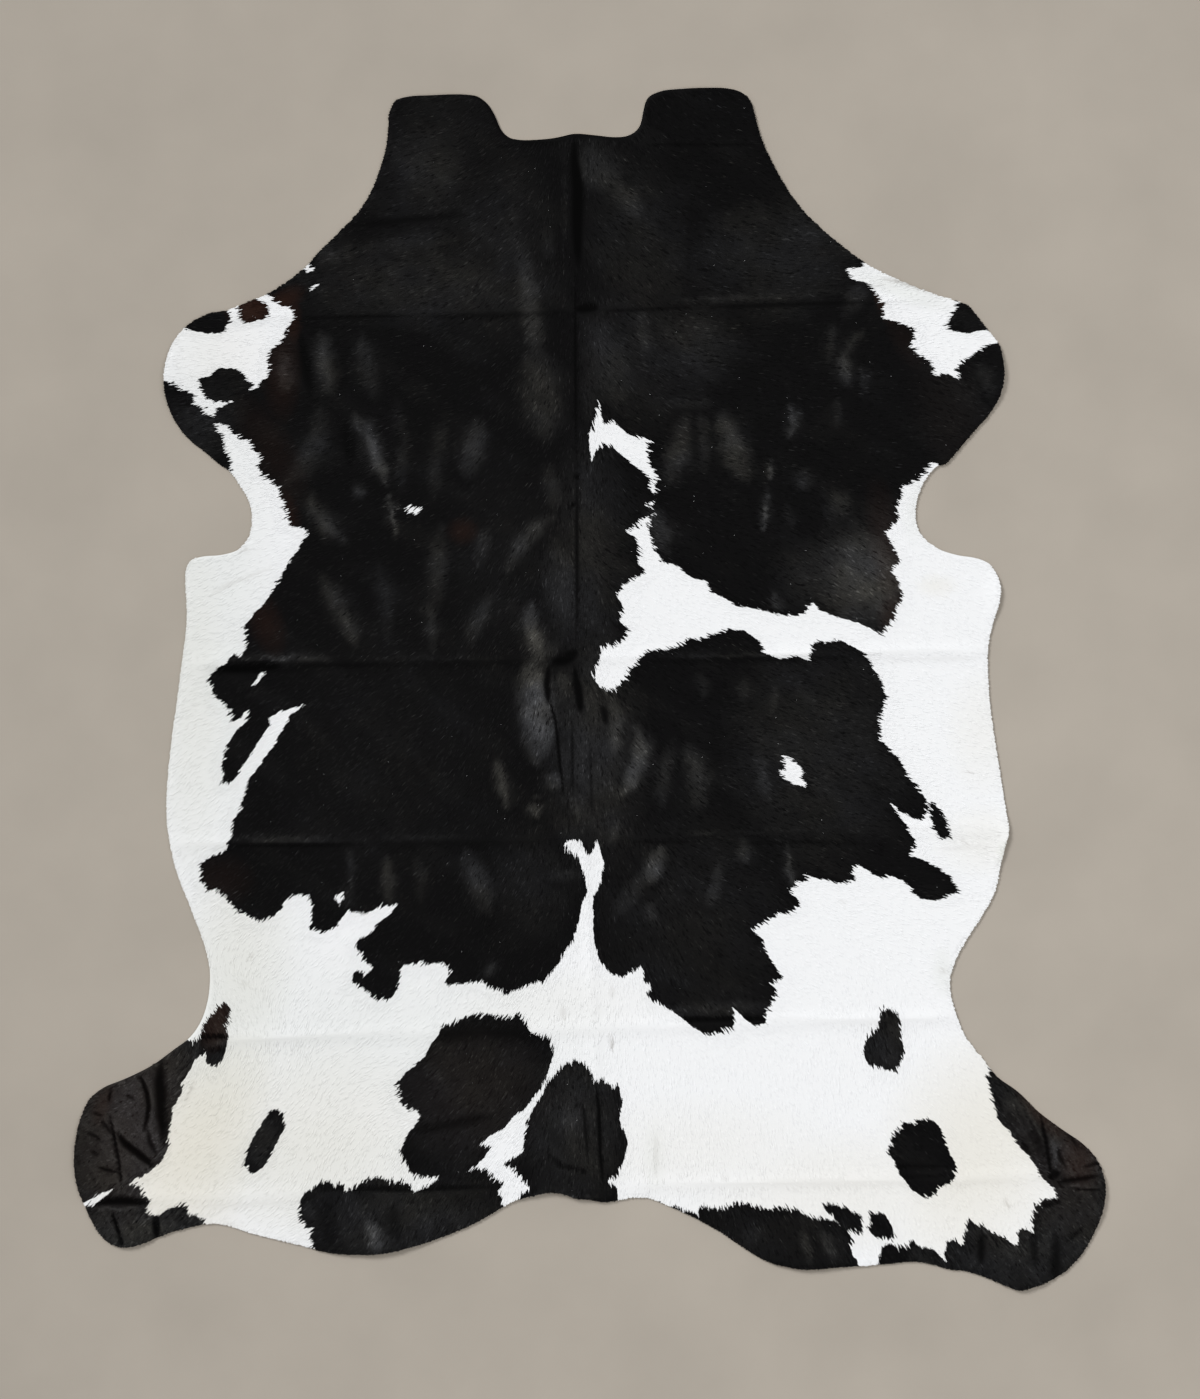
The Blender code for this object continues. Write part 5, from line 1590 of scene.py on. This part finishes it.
def hair_roots(sizes, coat, leather):
    """The roots of all locks over the hide, with what each lock is like."""
    dice = np.random.default_rng(sizes.seed)
    edge = coat_loop(cut_edge(leather.edge_step), coat.trim)
    xy = lattice(sizes.spacing)
    xy = xy + dice.uniform(-JITTER, JITTER, xy.shape) * sizes.spacing
    xy = xy[within(xy, edge)]
    depth = dark_depth(xy)
    to_edge = distance_to_loop(xy, edge)
    reach = sizes.length * REACH
    dense = (np.abs(depth) < reach) | (to_edge < reach * CUT_REACH)
    kept = dense | (dice.random(len(xy)) < sizes.share)
    kept &= (np.abs(depth) < reach * BARE) | (shade(xy) < BARE)
    xy, depth = xy[kept], depth[kept]
    near = np.abs(depth) < reach
    count = len(xy)
    flat = along_hair(hair_turn(xy) + dice.normal(0.0, LOCK_TURN, count))

    def uneven(at_edge, elsewhere):
        return np.where(near, dice.uniform(*at_edge, count), dice.uniform(*elsewhere, count))

    def down_lock(share):
        return xy + flat * length[:, None] * share

    length = sizes.length * uneven(EDGE_LENGTHS, EVEN_LENGTHS)
    length = length * (1.0 - CRUMPLE_SHORTER * tint(xy, CRUMPLED) * ~near)
    width = sizes.width * uneven(EDGE_WIDTHS, EVEN_WIDTHS)
    room = sizes.fringe * dice.uniform(*FRINGE_SHARES, count) * (1.0 - bump(xy, NOTCH))
    for _ in range(SHORTENINGS):
        tips = down_lock(1.0)
        outside = np.flatnonzero(~within(tips, edge))
        beyond = distance_to_loop(tips[outside], edge) - room[outside]
        length[outside] = np.maximum(length[outside] - np.maximum(beyond, 0.0), SHORTEST)

    tips, middle = down_lock(1.0), down_lock(0.5)
    dark = depth > 0
    dark[near] = toothed_depth(down_lock(COLOUR_SHARE)[near], flat[near]) > 0
    fields = coat_fields(xy, middle)
    # Each lock's painted sheen, streaked along the hair; a share of the dark locks gets a painted
    # glint.
    strand = combed(middle, flat, STRAND_WIDTH, STRAND_LENGTH, STRAND_SEED)
    light = fields["gloss"] * (1.0 + STRAND_LIGHT * strand) + STRAND_GLOSS * strand
    light = np.clip(light, 0.0, MOST_LIGHT)
    bright = dark & (dice.random(count) < sizes.bright * (1 + MORE_BRIGHT * light))
    lint = dark & (dice.random(count) < sizes.lint)
    light = np.where(bright, light + dice.uniform(*BRIGHT_LIGHT, count), light)
    width = np.where(lint, LINT_WIDTH, np.where(bright, BRIGHT_WIDTH, 1.0)) * width
    length = np.where(lint, LINT_LENGTH, 1.0) * length

    height = coat_top(xy)
    slope = np.column_stack([(coat_top(xy + np.array(step) * PROBE) - height) / PROBE
                             for step in ((1, 0), (0, 1))])
    rise = sizes.rise * dice.uniform(*RISE_SHARES, count)
    climb = (coat_top(tips) - height + rise) / length
    wide, long = width / sizes.width, length / sizes.length
    return fields | {
        "place": np.column_stack((xy, height - ROOT_DEPTH)),
        "direction": np.column_stack((flat, climb)),
        "upright": np.column_stack((-slope, np.ones(count))),
        "size": np.column_stack((wide, wide, long)),
        "dark": (dark & ~lint).astype(float), "gloss": light, "shade": dice.random(count),
    }


def roots_mesh(name, roots, rows):
    mesh = bpy.data.meshes.new(name)
    mesh.from_pydata(roots["place"][rows].tolist(), [], [])
    for key in ("direction", "upright", "size"):
        store_vectors(mesh, key, roots[key][rows])
    for key in ("dark", *COAT_VALUES, "shade"):
        store(mesh, key, roots[key][rows])
    store_vectors(mesh, "root", roots["place"][rows])
    return mesh


class COWHIDE_OT_hair(bpy.types.Operator):
    """Stands locks of hair on the coat, band by band from the neck to the tail"""
    bl_idname = "cowhide.hair"
    bl_label = "Locks of Hair"

    def execute(self, context):
        sizes = context.scene.cowhide_hair
        coat_sizes = context.scene.cowhide_coat
        streaks = group_named("Streaks", streak_group)
        coat = group_named("Coat Colour", coat_group, coat_sizes)
        material = lock_material(streaks, coat)
        tree = hair_tree()
        roots = hair_roots(sizes, coat_sizes, context.scene.cowhide_leather)
        down = HIDE_MIDDLE[1] - roots["place"][:, 1] / PIXEL
        top = -math.inf
        for name, bottom in BANDS:
            rows = np.flatnonzero((down >= top) & (down < bottom))
            top = bottom
            if not len(rows):
                raise RuntimeError(f"the {name} band holds no roots")
            carrier = shown(roots_mesh("roots", roots, rows), "roots")
            modifier = carrier.modifiers.new("hair", "NODES")
            modifier.node_group = tree
            values = {
                "Sides": LOCK_SIDES, "Shoulder": sizes.shoulder, "Length": sizes.length,
                "Width": sizes.width / BALL_WIDTH, "Height": sizes.height / BALL_HEIGHT,
                "Material": material}
            for item in tree.interface.items_tree:
                if item.item_type == "SOCKET" and item.name in values:
                    modifier[item.identifier] = values[item.name]
            context.view_layer.update()
            evaluated = carrier.evaluated_get(context.evaluated_depsgraph_get())
            mesh = bpy.data.meshes.new_from_object(evaluated)
            mesh.name = f"hair_{name}"
            bpy.data.objects.remove(carrier)
            self.lay_out(mesh)
            piece = shown(mesh, f"hair_{name}")
            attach(piece, "root")
        return {"FINISHED"}

    def lay_out(self, mesh):
        """A map that gives each lock a small place of its own at its root."""
        at = np.empty(len(mesh.vertices) * 3, np.float32)
        mesh.attributes["root"].data.foreach_get("vector", at)
        at = at.reshape(-1, 3)[:, :2]
        away = plan(mesh) - at
        map_onto(mesh, "OFBake", flat_map(at + away * LOCK_MAP_SHARE))
        for key in ("direction", "upright", "size", "root"):
            if key in mesh.attributes:
                mesh.attributes.remove(mesh.attributes[key])


# The lights' places and the fill light's width, half the floor's side and its drop, in metres.
KEY_PLACE, FILL_PLACE, FILL_WIDTH = (-2.0, 1.9, 2.3), (1.6, -0.4, 4.6), 3.5
FLOOR_HALF, FLOOR_DROP = 6.0, 0.0004
FLOOR_CLOUDS, FLOOR_ROUGHNESS = (0.95, 1.05), 0.85
SURROUND = (1.0, 0.99, 0.97, 1)
# The width of the camera's sensor in millimetres.
SENSOR = 36.0


class COWHIDE_OT_stage(bpy.types.Operator):
    """Builds the pale floor, the soft light and the camera that looks straight down"""
    bl_idname = "cowhide.stage"
    bl_label = "Floor, Light and Camera"

    def execute(self, context):
        values = context.scene.cowhide_stage
        self.floor(values)
        self.light("key light", "SUN", KEY_PLACE, values.key).angle = values.key_softness
        fill = self.light("fill light", "AREA", FILL_PLACE, values.fill)
        fill.shape = "DISK"
        fill.size = FILL_WIDTH
        self.surround(values)
        self.camera(values)
        view = context.scene.view_settings
        view.view_transform = "Standard"
        view.look = "None"
        return {"FINISHED"}

    def floor(self, values):
        mesh = bpy.data.meshes.new("floor")
        corners = ((-1, -1), (1, -1), (1, 1), (-1, 1))
        mesh.from_pydata([(x * FLOOR_HALF, y * FLOOR_HALF, 0) for x, y in corners], [],
                         [(0, 1, 2, 3)])
        material, tree, shader = new_material("plain floor")
        noise = add(tree, "ShaderNodeTexNoise", {
            "Vector": add(tree, "ShaderNodeTexCoord").outputs["Object"], "Scale": 4.0,
            "Detail": 6.0})
        clouds = spread_to(tree, noise.outputs["Fac"], FLOOR_CLOUDS, NOISE)
        tree.links.new(scaled(tree, tuple(values.floor), clouds), shader.inputs["Base Color"])
        shader.inputs["Roughness"].default_value = FLOOR_ROUGHNESS
        mesh.materials.append(material)
        piece = shown(mesh, "floor")
        piece.location.z = -FLOOR_DROP

    def light(self, name, kind, place_at, power):
        lamp = bpy.data.lights.new(name, kind)
        lamp.energy = power
        piece = shown(lamp, name)
        piece.location = place_at
        piece.rotation_mode = "QUATERNION"
        piece.rotation_quaternion = (-piece.location).to_track_quat("-Z", "Y")
        return lamp

    def surround(self, values):
        world = bpy.data.worlds.new("surround")
        world.use_nodes = True
        light = world.node_tree.nodes["Background"].inputs
        light["Color"].default_value = SURROUND
        light["Strength"].default_value = values.sky
        bpy.context.scene.world = world

    def camera(self, values):
        camera = bpy.data.cameras.new("camera")
        camera.lens = values.lens
        camera.sensor_width = SENSOR
        half = PHOTO_HEIGHT / 2 * PIXEL
        middle = place((PHOTO_WIDTH / 2, PHOTO_HEIGHT / 2))[0]
        piece = shown(camera, "camera")
        piece.location = (*middle, half * values.lens / (camera.sensor_width / 2))
        bpy.context.scene.camera = piece


class COWHIDE_PT_panel(bpy.types.Panel):
    """Lists the pieces of the rug and their settings"""
    bl_idname = "COWHIDE_PT_panel"
    bl_label = "Cowhide"
    bl_space_type = "VIEW_3D"
    bl_region_type = "UI"
    bl_category = "Cowhide"

    def draw(self, context):
        for name, settings_class in SETTINGS.items():
            box = self.layout.box()
            box.operator(f"cowhide.{name}")
            for key in settings_class.__annotations__:
                box.prop(getattr(context.scene, f"cowhide_{name}"), key)


SETTINGS = {
    "leather": LeatherSettings,
    "coat": CoatSettings,
    "hair": HairSettings,
    "stage": StageSettings,
}
CLASSES = (*SETTINGS.values(), COWHIDE_OT_leather, COWHIDE_OT_coat, COWHIDE_OT_hair,
           COWHIDE_OT_stage, COWHIDE_PT_panel)


def register():
    for made in CLASSES:
        bpy.utils.register_class(made)
    for name, settings_class in SETTINGS.items():
        setattr(bpy.types.Scene, f"cowhide_{name}", PointerProperty(type=settings_class))


def unregister():
    for name in SETTINGS:
        delattr(bpy.types.Scene, f"cowhide_{name}")
    for made in reversed(CLASSES):
        bpy.utils.unregister_class(made)


def main():
    register()
    bpy.ops.cowhide.leather()
    bpy.ops.cowhide.coat()
    bpy.ops.cowhide.hair()
    bpy.ops.cowhide.stage()


if __name__ == "__main__":
    main()
